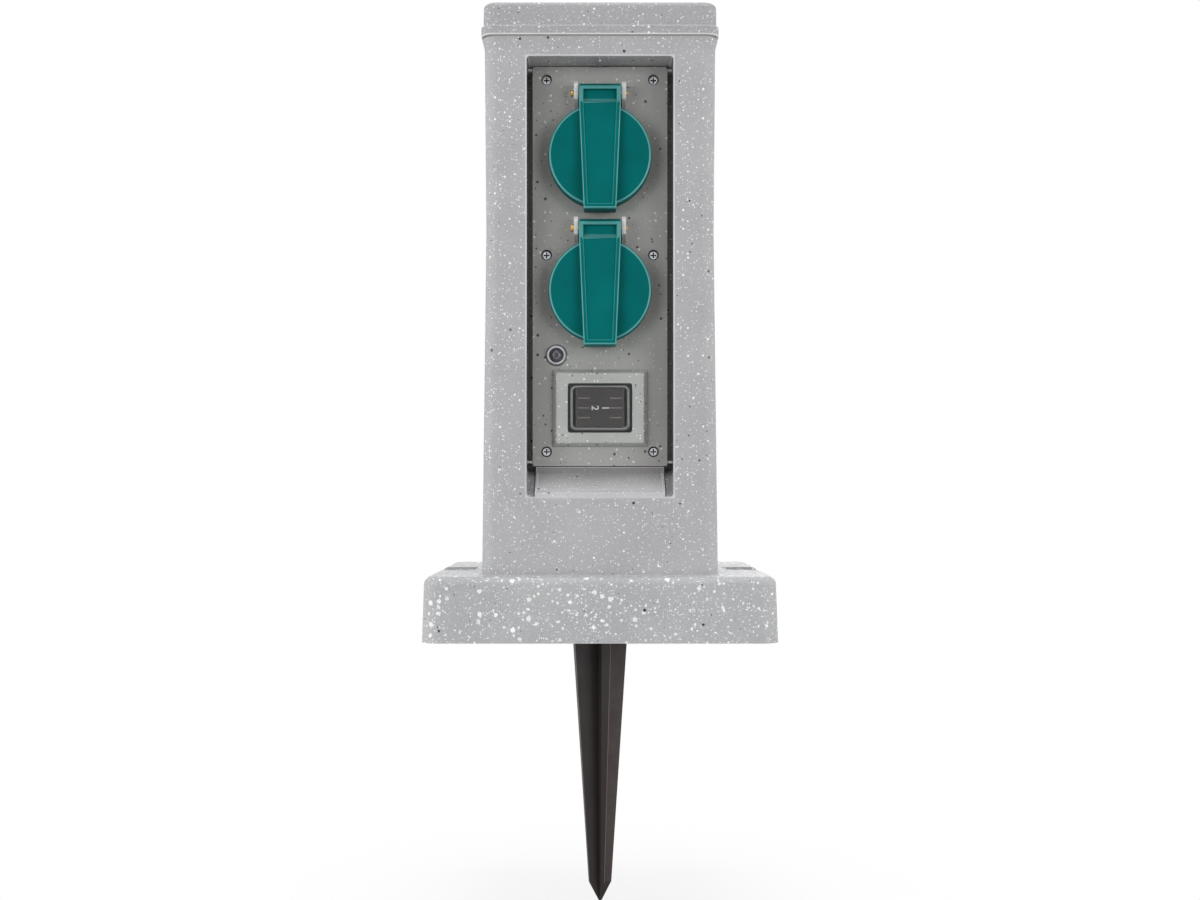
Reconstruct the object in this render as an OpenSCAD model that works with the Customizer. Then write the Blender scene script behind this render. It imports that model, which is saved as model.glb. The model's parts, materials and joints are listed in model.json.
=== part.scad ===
// Garden socket post: a stone-look column on a square foot with a ground spike, two flap sockets
// behind a recessed panel, a dusk sensor and a covered three-position rocker switch.
// Origin: centre of the foot's underside. +Z up, the front faces -Y. Millimetres.

/* [Foot] */
// Width of the foot at the ground
base_w = 154.3; // [140:0.1:180]
// Width of the foot under its rounded top edge
base_top_w = 152.7; // [136:0.1:176]
// Height of the foot
base_h = 28.5; // [24:0.5:40]
// Corner radius of the foot in plan
base_corner_r = 8; // [4:0.5:14]
// Rounding of the foot's top edge
base_edge_r = 3.5; // [1:0.5:5]
// Side wall of the foot
base_wall = 3.2; // [2.4:0.2:5]
// Thickness of the foot's deck
base_deck = 4; // [3.5:0.5:6]
// Thickness of the ribs under the deck
base_rib = 2.2; // [1.6:0.2:3.5]
// Distance of each ground bolt from the centre
bolt_x = 64.5; // [62:0.5:66]
// Radius of each ground bolt hole
bolt_hole_r = 2.75; // [2:0.25:3.5]
// Radius of the pillar round each ground bolt hole
bolt_boss_r = 6; // [4.5:0.5:7]
// Depth of the pocket round each ground bolt hole
bolt_pocket = 1.5; // [1:0.5:3]
// Length of that pocket from front to back
bolt_pocket_d = 28; // [16:1:36]

/* [Column] */
// Width of the column under its top rim
column_top_w = 103.1; // [102:0.1:112]
// How far the column stands out past that width on each side where it meets the foot
column_foot_out = 1.1; // [0.5:0.05:2]
// How far the column's waist stands in from that width on each side
column_waist_in = 0.65; // [0:0.05:0.8]
// Height of the column
column_h = 238.5; // [236:0.5:300]
// Height of the waist above the foot
waist_h = 152; // [100:1:180]
// Corner radius of the column in plan
column_corner_r = 6; // [3:0.5:9]
// Thinnest wall of the column
column_wall = 3.2; // [2.4:0.2:4]
// Height of the flared rim at the top of the column
rim_h = 5; // [3:0.5:8]
// How far the rim flares out on each side
rim_flare = 0.8; // [0:0.1:1.5]

/* [Cap] */
// How far the cap's block stands in from the column's rim on each side
cap_in = 0.35; // [0:0.05:1]
// How far the cap's lower step stands out past the rim on each side
cap_step_out = 0.65; // [0:0.05:1.5]
// Height of the cap's block
cap_h = 10.7; // [8:0.1:20]
// Height of the cap's lower step
cap_step_h = 4.2; // [3:0.1:6]
// Rounding of the cap's top edge
cap_edge_r = 2.4; // [0.5:0.1:4]
// Thickness of the cap gasket
cap_gasket_t = 0.8; // [0.5:0.1:2]

/* [Niche] */
// Width of the opening in the column
niche_w = 65.1; // [63.5:0.1:68]
// Height of the opening in the column
niche_h = 195.6; // [194:0.1:205]
// Height of the opening's lower edge above the ground
niche_z = 62.9; // [60:0.1:66]
// Depth of the panel's face behind the column's front at the foot
niche_depth = 18.6; // [16:0.1:20]
// Wall thickness of the niche
niche_wall = 2.6; // [2:0.1:3.5]
// Thickness of the seat behind the panel
seat_t = 2.6; // [2:0.1:4]
// Rise of the drip apron from its front edge to the panel
apron_rise = 8.2; // [4:0.1:10]
// Width of the drip apron
apron_w = 58.2; // [50:0.1:60]

/* [Panel] */
// Width of the socket panel
panel_w = 61.2; // [60:0.1:63]
// Height of the socket panel
panel_h = 181.4; // [180:0.1:182]
// Thickness of the socket panel
panel_t = 2.6; // [2:0.1:3.5]
// How far the panel's face stands in front of its seat
panel_rise = 9; // [8:0.1:12]
// Distance of the panel screws from the middle
screw_x = 24.3; // [24:0.1:25]
// Radius of the panel screws' shanks
screw_r = 1.3; // [1:0.1:1.4]
// Length of the panel screws under their heads
screw_len = 17; // [14:0.5:20]
// Radius of the panel screws' heads
screw_head_r = 2.15; // [1.9:0.05:2.3]
// Radius of the hole that each head sits in
screw_well_r = 2.45; // [2.35:0.05:2.8]

/* [Sockets] */
// Radius of the socket's bore
socket_r = 19.75; // [19.5:0.05:20]
// Depth of the socket's bore
socket_depth = 17.5; // [15:0.5:18]
// Wall of the socket cup
cup_wall = 1.15; // [1:0.05:1.3]
// Height of the upper socket's centre above the ground
upper_z = 216.4; // [214:0.1:218]
// Distance between the socket centres
socket_pitch = 60.8; // [60:0.1:62]
// Height of the collar round each socket
collar_h = 5; // [4:0.1:6]
// Distance between the two pin holes
pin_pitch = 19; // [18:0.5:20]

/* [Flaps] */
// Radius of the flap's disc
flap_r = 23.2; // [23:0.05:23.8]
// How far the disc's face stands in front of the panel
flap_front = 9; // [8.5:0.1:10]
// Thickness of the disc
flap_t = 2; // [1.5:0.1:2.5]
// Height of the hinge axis above the socket's centre
hinge_rise = 28.2; // [27.8:0.1:29]
// Distance of the hinge axis in front of the panel
hinge_out = 6; // [5.5:0.1:6.5]
// Radius of the hinge pin
hinge_pin_r = 1; // [0.8:0.05:1.2]
// Width of the strap at the hinge
strap_top_w = 19; // [16:0.1:19.4]
// Width of the strap at its free end
strap_end_w = 14.6; // [12:0.1:18]
// How far the strap stands in front of the hinge axis at the hinge
strap_top_out = 5.5; // [5:0.1:6]
// How far the strap stands in front of the hinge axis at its free end
strap_end_out = 9; // [7:0.1:10]
// Border round the strap's sunk field
strap_border = 2; // [1.5:0.1:3]
// Depth of the strap's sunk field
strap_sunk = 0.7; // [0.3:0.1:1]
// Thickness of each hinge ear
ear_t = 1.8; // [1.4:0.1:2.2]
// Wire thickness of the flap spring
spring_wire = 0.7; // [0.5:0.05:0.8]
// Turns of the flap spring
spring_turns = 6; // [4:1:7]

/* [Sensor] */
// Distance of the dusk sensor left of the middle
sensor_x = 19.8; // [18:0.1:21]
// Height of the dusk sensor above the ground
sensor_z = 127; // [126:0.1:128]
// Radius of the sensor's ring
sensor_ring_r = 5; // [4.6:0.1:6]
// Radius of the sensor's lens
sensor_lens_r = 3.3; // [2.8:0.1:3.4]

/* [Switch] */
// Height of the switch's centre above the ground
switch_z = 102.9; // [102:0.1:104]
// Width of the switch frame on the panel
frame_w = 43.2; // [40:0.1:46]
// Height of the switch frame on the panel
frame_h = 35; // [32:0.1:36]
// How far the frame narrows towards its face on each side
frame_slope = 1.8; // [0.8:0.1:2.4]
// How far the frame stands in front of the panel
frame_rise = 4; // [3:0.1:5]
// Width of the frame's opening
window_w = 29; // [28.8:0.1:30]
// Height of the frame's opening
window_h = 22.2; // [22:0.1:23]
// Length of the rocker
rocker_w = 22.4; // [20:0.1:22.6]
// Height of the rocker
rocker_h = 18; // [16:0.1:18.4]
// Wall of the clear switch cover
boot_t = 0.8; // [0.5:0.1:0.9]

/* [Spike] */
// Width of the spike's vanes at the ground
spike_w = 26; // [20:0.5:28]
// Width of the vanes just above the point
spike_end_w = 10.6; // [6:0.1:14]
// Thickness of the vanes at the ground
vane_t = 4.6; // [3:0.1:6]
// Thickness of the vanes just above the point
vane_end_t = 2; // [1.5:0.1:3]
// Length of the spike below the ground, without its point
spike_len = 120; // [80:1:200]
// Length of the point
spike_tip = 9; // [5:0.5:20]
// Turn of the spike's vanes about the upright axis, in degrees
spike_turn = 14; // [0:1:45]

/* [Inside] */
// Depth of the wiring box behind its flange
box_depth = 54; // [50:1:60]
// Wall of the wiring box
box_wall = 1.8; // [1.4:0.1:2.2]
// Width of the wiring box
box_w = 54.4; // [53:0.1:56]
// Thickness of the box gasket
box_gasket_t = 1.2; // [0.8:0.1:2]
// Radius of the mains cable that the gland takes
cable_r = 4; // [3:0.25:4.5]
// Radius of the inner wires
wire_r = 1.2; // [0.8:0.1:1.5]

/* [Hidden] */
$fn = 64;
eps = 0.01;

// Fits
slide_gap = 0.3;
pin_gap = 0.05;
screw_gap = 0.05;
loose_gap = 0.2;

// Levels and planes worked out from the sizes above
column_z = base_h;
column_top = column_z + column_h;
column_foot_w = column_top_w + 2 * column_foot_out;
column_waist_w = column_top_w - 2 * column_waist_in;
rim_z = column_top - rim_h;
rim_w = column_top_w + 2 * rim_flare;
cap_w = rim_w - 2 * cap_in;
cap_step_w = rim_w + 2 * cap_step_out;
cavity_w = column_waist_w - 2 * column_wall;
front_y = -column_foot_w / 2;
panel_y = front_y + niche_depth;
seat_y = panel_y + panel_rise;
panel_back_y = panel_y + panel_t;
niche_top = niche_z + niche_h;
panel_top = niche_top - 0.45;
panel_bottom = panel_top - panel_h;
lower_z = upper_z - socket_pitch;
screw_inset = 5.8;
screw_zs = [panel_top - screw_inset, (upper_z + lower_z) / 2 - 13.4, panel_bottom + screw_inset + 0.7];
screw_places = [for (z = screw_zs) for (s = [-1, 1]) [s * screw_x, z]];
tab_r = 4.6;

// Socket cup and collar
cup_r = socket_r + cup_wall;
collar_in_r = cup_r + loose_gap;
collar_r = collar_in_r + 0.95;
collar_y = panel_y - collar_h;
cup_front_y = collar_y + 0.2;
cup_floor_y = cup_front_y + socket_depth;
cup_floor_t = 3;
cup_back_y = cup_floor_y + cup_floor_t;
cup_flange_r = 23.6;
cup_flange_t = 2;
tower_r = 4.4;
tower_len = 16;
contact_r = 2.8;
contact_hole_r = 2.5;
clip_w = 5;
clip_t = 0.7;
clip_r = socket_r + 0.2;
cup_screw_x = 25.2;
cup_screw_r = 1;

// How far the niche's side walls step back behind their front lip
wall_step = 1.1;

// Flap and hinge, measured from the hinge axis
hinge_y = panel_y - hinge_out;
disc_y = panel_y - flap_front;
skirt_in_r = collar_r + 0.4;
strap_len = hinge_rise + flap_r + 1.9;
strap_top = 3.7;
strap_slope = atan2(strap_end_out - strap_top_out, strap_len);
ear_gap = strap_top_w / 2 + 0.4;
ear_up = 4.9;
ear_down = 5.8;
seal_w = 1.5;
spring_r = hinge_pin_r + spring_wire / 2 + 0.3;
spring_room_r = 2.3;
spring_pitch = 1.9;
spring_len = spring_turns * spring_pitch;

// Switch
frame_y = panel_y - frame_rise;
body_w = window_w - 0.4;
body_h = window_h - 0.4;
well_w = rocker_w + 3.4;
well_h = rocker_h + 1.2;
body_back_y = panel_y + 21;
rocker_y = panel_y + 2.6;
rocker_out = 7;
rocker_dip = 0.9;
boot_w = well_w + 1;
boot_h = well_h + 1;
boot_out = 3.6;
trunnion_r = 1.2;
terminal_xs = [-8, 0, 8];

// Wiring box
box_front_y = seat_y + seat_t + box_gasket_t;
box_flange_t = 2;
box_back_y = box_front_y + box_depth;
box_bottom = panel_bottom - 0.6;
box_top = panel_top - 0.6;
box_flange_w = box_w + 6;
box_boss_r = 3.8;
box_boss_len = 13;
board_y = panel_y + 36;
board_t = 1.6;
board_w = 42;
board_bottom = box_bottom + 5;
board_top = sensor_z + 8;
board_holes = [for (x = [-1, 1]) for (z = [board_bottom + 4, board_top - 4]) [x * (board_w / 2 - 3), z]];
block_z = (upper_z + lower_z) / 2 - 8;
block_h = 20;
block_d = 18;
block_w = 34;
wire_xs = [-pin_pitch / 2, 0, pin_pitch / 2];
wire_y = box_back_y - box_wall - 8;
gland_y = box_back_y - 13;
gland_r = 6;
gland_out = 14;

// Foot and spike
deck_z = base_h - base_deck;
spike_room = spike_w + 1;
spike_sleeve = spike_room + 5;
spike_bolt_r = 3;
spike_hub_r = 8;
nut_af = 10;
nut_h = 5;
nut_z = deck_z - 13;
foot_screw_r = 1.9;
foot_boss_r = 5;
foot_screw_xy = cavity_w / 2 - foot_boss_r + 0.9;
foot_boss_h = 30;
cable_hole_r = 9;
cable_hole_y = gland_y + 3;

// Colours
stone = [0.70, 0.70, 0.71];
panel_grey = [0.55, 0.55, 0.545];
bezel_grey = [0.65, 0.665, 0.65];
teal = [0, 0.41, 0.39];
zinc = [0.78, 0.78, 0.8];
brass = [0.8, 0.62, 0.3];
black = [0.17, 0.16, 0.15];
rubber = [0.12, 0.12, 0.12];
board_green = [0.1, 0.35, 0.2];

// Outline of a rectangle with rounded corners, as points
function rounded_rect(w, d, r, n = 8) = [
  for (c = [[1, 1, 0], [-1, 1, 90], [-1, -1, 180], [1, -1, 270]])
    for (i = [0 : n])
      [c[0] * (w / 2 - r) + r * cos(c[2] + 90 * i / n), c[1] * (d / 2 - r) + r * sin(c[2] + 90 * i / n)]
];

// An upright prism of that outline, standing on z
module rounded_prism(w, d, h, r, z = 0) {
  translate([0, 0, z])
    linear_extrude(h)
      polygon(rounded_rect(w, d, r));
}

// A prism whose outline lies in the XZ plane and that runs from y0 to y1
module panel_prism(w, h, r, y0, y1, z) {
  translate([0, y1, z])
    rotate([90, 0, 0])
      linear_extrude(y1 - y0)
        polygon(rounded_rect(w, h, r, 4));
}

// A cylinder along Y from y0 to y1
module rod_y(r, y0, y1, x = 0, z = 0) {
  translate([x, y0, z])
    rotate([-90, 0, 0])
      cylinder(r = r, h = y1 - y0);
}

// A cylinder along X, centred on x
module rod_x(r, w, y, z, x = 0) {
  translate([x - w / 2, y, z])
    rotate([0, 90, 0])
      cylinder(r = r, h = w);
}

// A block between two corners
module block(low, high) {
  translate(low)
    cube(high - low);
}

// A square block with rounded corners and a rounded top edge
module soft_block(w0, w1, h, r, edge) {
  steps = 5;
  hull() {
    rounded_prism(w0, w0, eps, r);
    for (i = [0 : steps]) {
      a = 90 * i / steps;
      inset = edge * (1 - cos(a));
      rounded_prism(w1 - 2 * inset, w1 - 2 * inset, eps, max(r - inset, 1), h - edge * (1 - sin(a)) - eps);
    }
  }
}

// A square tube section that changes width on its way up
module taper(w0, w1, h, r, z) {
  translate([0, 0, z])
    linear_extrude(h, scale = w1 / w0)
      polygon(rounded_rect(w0, w0, r));
}

// Cross product direction, made one long
function unit(v) = v / norm(v);

// A tube swept along points that nowhere run along X
module sweep_tube(points, r, sides) {
  n = len(points);
  tangents = [for (i = [0 : n - 1]) unit(points[min(i + 1, n - 1)] - points[max(i - 1, 0)])];
  rings = [
    for (i = [0 : n - 1])
      let (u = unit(cross([1, 0, 0], tangents[i])), v = cross(tangents[i], u))
        for (k = [0 : sides - 1])
          points[i] + r * (cos(360 * k / sides) * u + sin(360 * k / sides) * v)
  ];
  walls = [
    for (i = [0 : n - 2])
      for (k = [0 : sides - 1])
        let (a = i * sides + k, b = i * sides + (k + 1) % sides)
          each [[a, b, b + sides], [a, b + sides, a + sides]]
  ];
  first_end = [for (k = [1 : sides - 2]) [0, k + 1, k]];
  last = (n - 1) * sides;
  last_end = [for (k = [1 : sides - 2]) [last, last + k, last + k + 1]];
  polyhedron(points = rings, faces = [for (f = concat(walls, first_end, last_end)) [f[2], f[1], f[0]]]);
}

// Slot for a cross-head driver, cut into a head whose face lies at y = 0 and that faces -Y
module cross_slot(size, depth) {
  block([-size, -eps, -size / 4.5], [size, depth, size / 4.5]);
  block([-size / 4.5, -eps, -size], [size / 4.5, depth, size]);
}

// A screw that runs along +Y from its head, with the head's face at y = 0
module driven_screw(head_r, head_h, r, len) {
  difference() {
    union() {
      rotate([-90, 0, 0])
        cylinder(r1 = head_r * 0.82, r2 = head_r, h = head_h * 0.35);
      translate([0, head_h * 0.35, 0])
        rotate([-90, 0, 0])
          cylinder(r = head_r, h = head_h * 0.65);
      translate([0, head_h, 0])
        rotate([-90, 0, 0])
          cylinder(r = r, h = len);
    }
    cross_slot(head_r * 0.62, head_h * 0.55);
  }
}

module base_foot() {
  wall_in = base_w - 2 * base_wall;
  color(stone)
    difference() {
      union() {
        difference() {
          soft_block(base_w, base_top_w, base_h, base_corner_r, base_edge_r);
          rounded_prism(wall_in, wall_in, deck_z + 1, base_corner_r - base_wall, -1);
        }
        base_ribs(wall_in);
        for (s = [-1, 1])
          translate([s * bolt_x, 0, 0])
            cylinder(r = bolt_boss_r, h = base_h - bolt_pocket);
      }
      for (s = [-1, 1])
        bolt_cut(s);
      block([-spike_room / 2, -spike_room / 2, -1], [spike_room / 2, spike_room / 2, deck_z]);
      cylinder(r = spike_bolt_r + loose_gap, h = base_h * 3, center = true);
      translate([0, cable_hole_y, deck_z - 1])
        cylinder(r = cable_hole_r, h = base_deck + 2);
      rod_y(cable_r + 1.5, base_w / 2 - base_wall - 2, base_w / 2 + 2);
      for (x = [-1, 1])
        for (y = [-1, 1])
          translate([x * foot_screw_xy, y * foot_screw_xy, deck_z - 1])
            cylinder(r = foot_screw_r + 0.4, h = base_deck + 2);
    }
}

// The sleeve that takes the spike and the ribs from it to the walls
module base_ribs(wall_in) {
  rib_z = 7;
  difference() {
    union() {
      block([-spike_sleeve / 2, -spike_sleeve / 2, 0], [spike_sleeve / 2, spike_sleeve / 2, deck_z + eps]);
      block([-wall_in / 2 - eps, -base_rib / 2, rib_z], [wall_in / 2 + eps, base_rib / 2, deck_z + eps]);
      for (s = [-1, 1])
        block(
          [s * spike_sleeve * 0.42 - base_rib / 2, -wall_in / 2 - eps, rib_z],
          [s * spike_sleeve * 0.42 + base_rib / 2, wall_in / 2 + eps, deck_z + eps]
        );
    }
    block([-spike_room / 2, -spike_room / 2, -1], [spike_room / 2, spike_room / 2, deck_z]);
  }
}

// Pocket, raised ring and hole for one ground bolt, with the pocket open to the foot's side
module bolt_cut(side) {
  pocket_in = bolt_x - bolt_boss_r;
  ring_r = bolt_hole_r + 1.6;
  difference() {
    translate([side > 0 ? pocket_in : -base_w / 2 - 1, -bolt_pocket_d / 2, base_h - bolt_pocket])
      cube([base_w / 2 + 1 - pocket_in, bolt_pocket_d, bolt_pocket + 1]);
    translate([side * bolt_x, 0, 0])
      cylinder(r = ring_r, h = base_h - bolt_pocket + 0.9);
  }
  translate([side * bolt_x, 0, -1])
    cylinder(r = bolt_hole_r, h = base_h + 2);
}

// One pair of opposite vanes, lying in the XZ plane
module vane() {
  intersection() {
    rotate([90, 0, 0])
      translate([0, 0, -spike_w])
        linear_extrude(2 * spike_w)
          polygon([
            [-spike_w / 2, deck_z], [spike_w / 2, deck_z], [spike_w / 2, 0], [spike_end_w / 2, -spike_len],
            [0.6, -spike_len - spike_tip], [-0.6, -spike_len - spike_tip],
            [-spike_end_w / 2, -spike_len], [-spike_w / 2, 0]
          ]);
    rotate([90, 0, 90])
      translate([0, 0, -spike_w])
        linear_extrude(2 * spike_w)
          polygon([
            [-vane_t / 2, deck_z], [vane_t / 2, deck_z], [vane_t / 2, 0], [vane_end_t / 2, -spike_len],
            [0.5, -spike_len - spike_tip], [-0.5, -spike_len - spike_tip],
            [-vane_end_t / 2, -spike_len], [-vane_t / 2, 0]
          ]);
  }
}

module ground_spike() {
  slot_w = nut_af + 0.4;
  color(black)
    difference() {
      union() {
        rotate(spike_turn)
          vane();
        rotate(90 + spike_turn)
          vane();
        block([-spike_w / 2, -spike_w / 2, deck_z - 4], [spike_w / 2, spike_w / 2, deck_z]);
        translate([0, 0, 2])
          cylinder(r = spike_hub_r, h = deck_z - 2);
      }
      translate([0, 0, nut_z - 4])
        cylinder(r = spike_bolt_r + loose_gap, h = deck_z);
      block([-slot_w / 2, -spike_w, nut_z - 0.1], [slot_w / 2, 5.9, nut_z + nut_h + 0.1]);
    }
}

module hex_prism(af, h) {
  cylinder(r = af / sqrt(3), h = h, $fn = 6);
}

module spike_bolt() {
  head_z = base_h + 1.6;
  color(zinc) {
    translate([0, 0, head_z])
      hex_prism(10, 4);
    translate([0, 0, nut_z - 2])
      cylinder(r = spike_bolt_r, h = head_z - nut_z + 2 + eps);
  }
}

module spike_washer() {
  color(zinc)
    translate([0, 0, base_h])
      difference() {
        cylinder(r = 6.2, h = 1.6);
        translate([0, 0, -1])
          cylinder(r = spike_bolt_r + screw_gap, h = 4);
      }
}

module spike_nut() {
  color(zinc)
    translate([0, 0, nut_z])
      difference() {
        rotate(30)
          hex_prism(nut_af, nut_h);
        translate([0, 0, -1])
          cylinder(r = spike_bolt_r + screw_gap, h = nut_h + 2);
      }
}

module base_screws() {
  shank = base_deck + 19;
  color(zinc)
    for (x = [-1, 1])
      for (y = [-1, 1])
        translate([x * foot_screw_xy, y * foot_screw_xy, deck_z - 2.6])
          rotate([90, 0, 0])
            driven_screw(4, 2.6, foot_screw_r - screw_gap, shank);
}

// The column's outside, waisted, with a flared rim
module column_body() {
  taper(column_foot_w, column_waist_w, waist_h, column_corner_r, column_z);
  taper(column_waist_w, column_top_w, column_h - waist_h - rim_h, column_corner_r, column_z + waist_h);
  taper(column_top_w, rim_w, rim_h, column_corner_r, rim_z);
}

module column_shell() {
  color(stone)
    difference() {
      union() {
        difference() {
          column_body();
          rounded_prism(cavity_w, cavity_w, column_h + 2, 3, column_z - 1);
        }
        column_fittings();
        niche_walls();
      }
      niche_room();
      for (p = screw_places)
        rod_y(screw_r + 0.3, seat_y - 1, seat_y + seat_t + 1, p[0], p[1]);
    }
}

// Screw pillars at the foot and the ledges that hold the cap's hooks
module column_fittings() {
  ledge = 1.3;
  for (x = [-1, 1])
    for (y = [-1, 1])
      translate([x * foot_screw_xy, y * foot_screw_xy, column_z])
        difference() {
          cylinder(r = foot_boss_r, h = foot_boss_h);
          translate([0, 0, -1])
            cylinder(r = foot_screw_r, h = foot_boss_h - 4);
        }
  for (a = [0, 90, 180])
    rotate(a)
      block(
        [cavity_w / 2 - ledge, -9, rim_z - 9],
        [cavity_w / 2 + eps, 9, rim_z - 6]
      );
}

// The box of walls that leads from the opening back to the panel's seat
module niche_walls() {
  half = niche_w / 2 + niche_wall;
  block([-half, front_y + 3, niche_z - niche_wall], [half, seat_y + seat_t, niche_top + niche_wall]);
}

// Everything that is open in the niche: the room in front of the seat and the way through it
module niche_room() {
  room_y = front_y - 2;
  open_w = box_w - 2 * box_wall + 2;
  open_bottom = panel_bottom + 4;
  open_top = panel_top - 4;
  difference() {
    union() {
      panel_prism(niche_w, niche_h, 1.5, room_y, seat_y, niche_z + niche_h / 2);
      block(
        [-niche_w / 2 - wall_step, front_y + 5, niche_z + 3],
        [niche_w / 2 + wall_step, seat_y, niche_top - 3]
      );
    }
    niche_nibs();
    niche_ramps();
  }
  difference() {
    block([-open_w / 2, seat_y - eps, open_bottom], [open_w / 2, seat_y + seat_t + eps, open_top]);
    for (p = screw_places)
      rod_y(tab_r, seat_y - 1, seat_y + seat_t + 1, p[0], p[1]);
  }
  hull() {
    panel_prism(niche_w + 1.6, niche_h + 1.6, 2, room_y, front_y - 0.2, niche_z + niche_h / 2);
    panel_prism(niche_w, niche_h, 1.5, room_y, front_y + 1.4, niche_z + niche_h / 2);
  }
}

// Guide ribs on the niche's ceiling and sides that centre the panel
module niche_nibs() {
  nib_w = 1.1;
  nib_in = panel_w / 2 + 0.2;
  nib_out = niche_w / 2 + wall_step + 0.5;
  block([-nib_w / 2, panel_y - 12, niche_top - 1], [nib_w / 2, panel_y - 1, niche_top + 1]);
  for (z = [panel_top - 1.8, panel_bottom + 1.8])
    for (x0 = [-nib_out, nib_in])
      block([x0, panel_y - 1.2, z - nib_w / 2], [x0 + nib_out - nib_in, seat_y + 0.5, z + nib_w / 2]);
}

// Ramps in the two gaps beside the sill, which shed what runs down the niche's sides
module niche_ramps() {
  in = apron_w / 2 + 0.5;
  out = niche_w / 2 + wall_step + 0.5;
  for (x0 = [-out, in])
    translate([x0, 0, 0])
      rotate([90, 0, 90])
        linear_extrude(out - in)
          polygon([
            [front_y + 3, niche_z - 0.5], [front_y + 3, niche_z], [seat_y - 4, panel_bottom - 2],
            [seat_y + 0.5, panel_bottom - 2], [seat_y + 0.5, niche_z - 0.5]
          ]);
}

// The sloping sill under the panel, with a raised edge along each side
module drip_apron() {
  run_y = front_y + 2.2;
  low = niche_z + 2.4;
  back = panel_y - 0.3;
  edge_w = 1.2;
  color(stone)
    difference() {
      translate([-apron_w / 2, 0, 0])
        rotate([90, 0, 90])
          linear_extrude(apron_w)
            polygon([
              [run_y, niche_z], [seat_y - 0.1, niche_z], [seat_y - 0.1, panel_bottom - 0.4],
              [back, panel_bottom - 0.4], [back - 1, low + apron_rise], [run_y + 0.5, low], [run_y, low - 0.6]
            ]);
      translate([-apron_w / 2 + edge_w, 0, 0])
        rotate([90, 0, 90])
          linear_extrude(apron_w - 2 * edge_w)
            polygon([
              [run_y + 0.5, low - 0.5], [back - 1, low + apron_rise - 0.5], [back - 1, low + apron_rise + 2],
              [run_y - 1, low + 2], [run_y - 1, low - 0.5]
            ]);
      block(
        [-apron_w / 2 + 3, run_y + 6, niche_z - 1],
        [apron_w / 2 - 3, seat_y - 3, niche_z + 3.4]
      );
    }
}

module cap_gasket() {
  inner = cavity_w - 0.4;
  color(rubber)
    difference() {
      rounded_prism(column_top_w, column_top_w, cap_gasket_t, column_corner_r, column_top);
      rounded_prism(inner, inner, cap_gasket_t + 2, 2.5, column_top - 1);
    }
}

module top_cap() {
  z0 = column_top + cap_gasket_t;
  spigot_w = cavity_w - 2 * 0.5;
  lip_h = 6;
  room_w = spigot_w - 5;
  color(stone)
    difference() {
      union() {
        rounded_prism(cap_step_w, cap_step_w, cap_step_h, column_corner_r, z0);
        translate([0, 0, z0 + 1])
          soft_block(cap_w, cap_w, cap_step_h + cap_h - 1, column_corner_r, cap_edge_r);
        rounded_prism(spigot_w, spigot_w, lip_h + 1, 2.5, z0 - lip_h);
        for (a = [0, 90, 180])
          rotate(a)
            cap_hook(spigot_w, z0);
      }
      rounded_prism(room_w, room_w, lip_h + cap_step_h + cap_h - 3.5, 2, z0 - lip_h - 1);
    }
}

// One snap hook, reaching down past the column's ledge on the +X side
module cap_hook(spigot_w, z0) {
  hook_x = cavity_w / 2 - 1.3 - 0.4;
  barb_top = rim_z - 9 - 0.2;
  block([hook_x - 2, -6, barb_top - 3], [hook_x, 6, z0 + 1.5]);
  translate([0, 6, 0])
    rotate([90, 0, 0])
      linear_extrude(12)
        polygon([[hook_x - 1, barb_top], [hook_x + 1.1, barb_top], [hook_x - 1, barb_top - 3]]);
}

module socket_panel() {
  mid_z = (panel_top + panel_bottom) / 2;
  color(panel_grey)
    difference() {
      union() {
        panel_prism(panel_w, panel_h, 1, panel_y, panel_back_y, mid_z);
        difference() {
          panel_prism(panel_w, panel_h, 1, panel_back_y - eps, seat_y, mid_z);
          panel_prism(panel_w - 4, panel_h - 4, 0.5, panel_back_y - 1, seat_y + 1, mid_z);
        }
        for (p = screw_places)
          rod_y(4, panel_back_y - eps, seat_y, p[0], p[1]);
        for (z = [upper_z, lower_z]) {
          rod_y(collar_r, collar_y, panel_back_y, 0, z);
          hinge_ears(z + hinge_rise);
        }
      }
      for (z = [upper_z, lower_z])
        rod_y(collar_in_r, collar_y - 1, panel_back_y + 1, 0, z);
      for (p = screw_places) {
        rod_y(screw_r + loose_gap, panel_y - 1, seat_y + 1, p[0], p[1]);
        rod_y(screw_well_r, panel_y - 1, panel_y + 3.5, p[0], p[1]);
      }
      for (z = [upper_z, lower_z])
        for (s = [-1, 1])
          rod_y(cup_screw_r + screw_gap, panel_y + 0.6, panel_back_y + 1, s * cup_screw_x, z);
      rod_y(sensor_ring_r - 0.9, panel_y - 1, panel_back_y + 1, -sensor_x, sensor_z);
      panel_prism(window_w, window_h, 1, panel_y - 1, panel_back_y + 1, switch_z);
      for (p = frame_pegs)
        rod_y(1.3 + screw_gap, panel_y - 1, panel_back_y + 1, p[0], p[1]);
    }
}

// Two ears that carry the hinge pin, one on each side of the flap's knuckle
module hinge_ears(axis_z) {
  for (s = [-1, 1])
    difference() {
      translate([s * (ear_gap + ear_t / 2) - ear_t / 2, 0, 0])
        rotate([90, 0, 90])
          linear_extrude(ear_t)
            polygon([
              [panel_y + eps, axis_z + ear_up], [hinge_y - 2, axis_z + ear_up], [hinge_y - 3.2, axis_z + ear_up - 1.2],
              [hinge_y - 3.2, axis_z - 1.6], [hinge_y - 2.4, axis_z - 3], [panel_y - 0.6, axis_z - ear_down],
              [panel_y + eps, axis_z - ear_down]
            ]);
      rod_x(hinge_pin_r + 0.02, ear_t + 1, hinge_y, axis_z, s * (ear_gap + ear_t / 2));
    }
}

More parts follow.
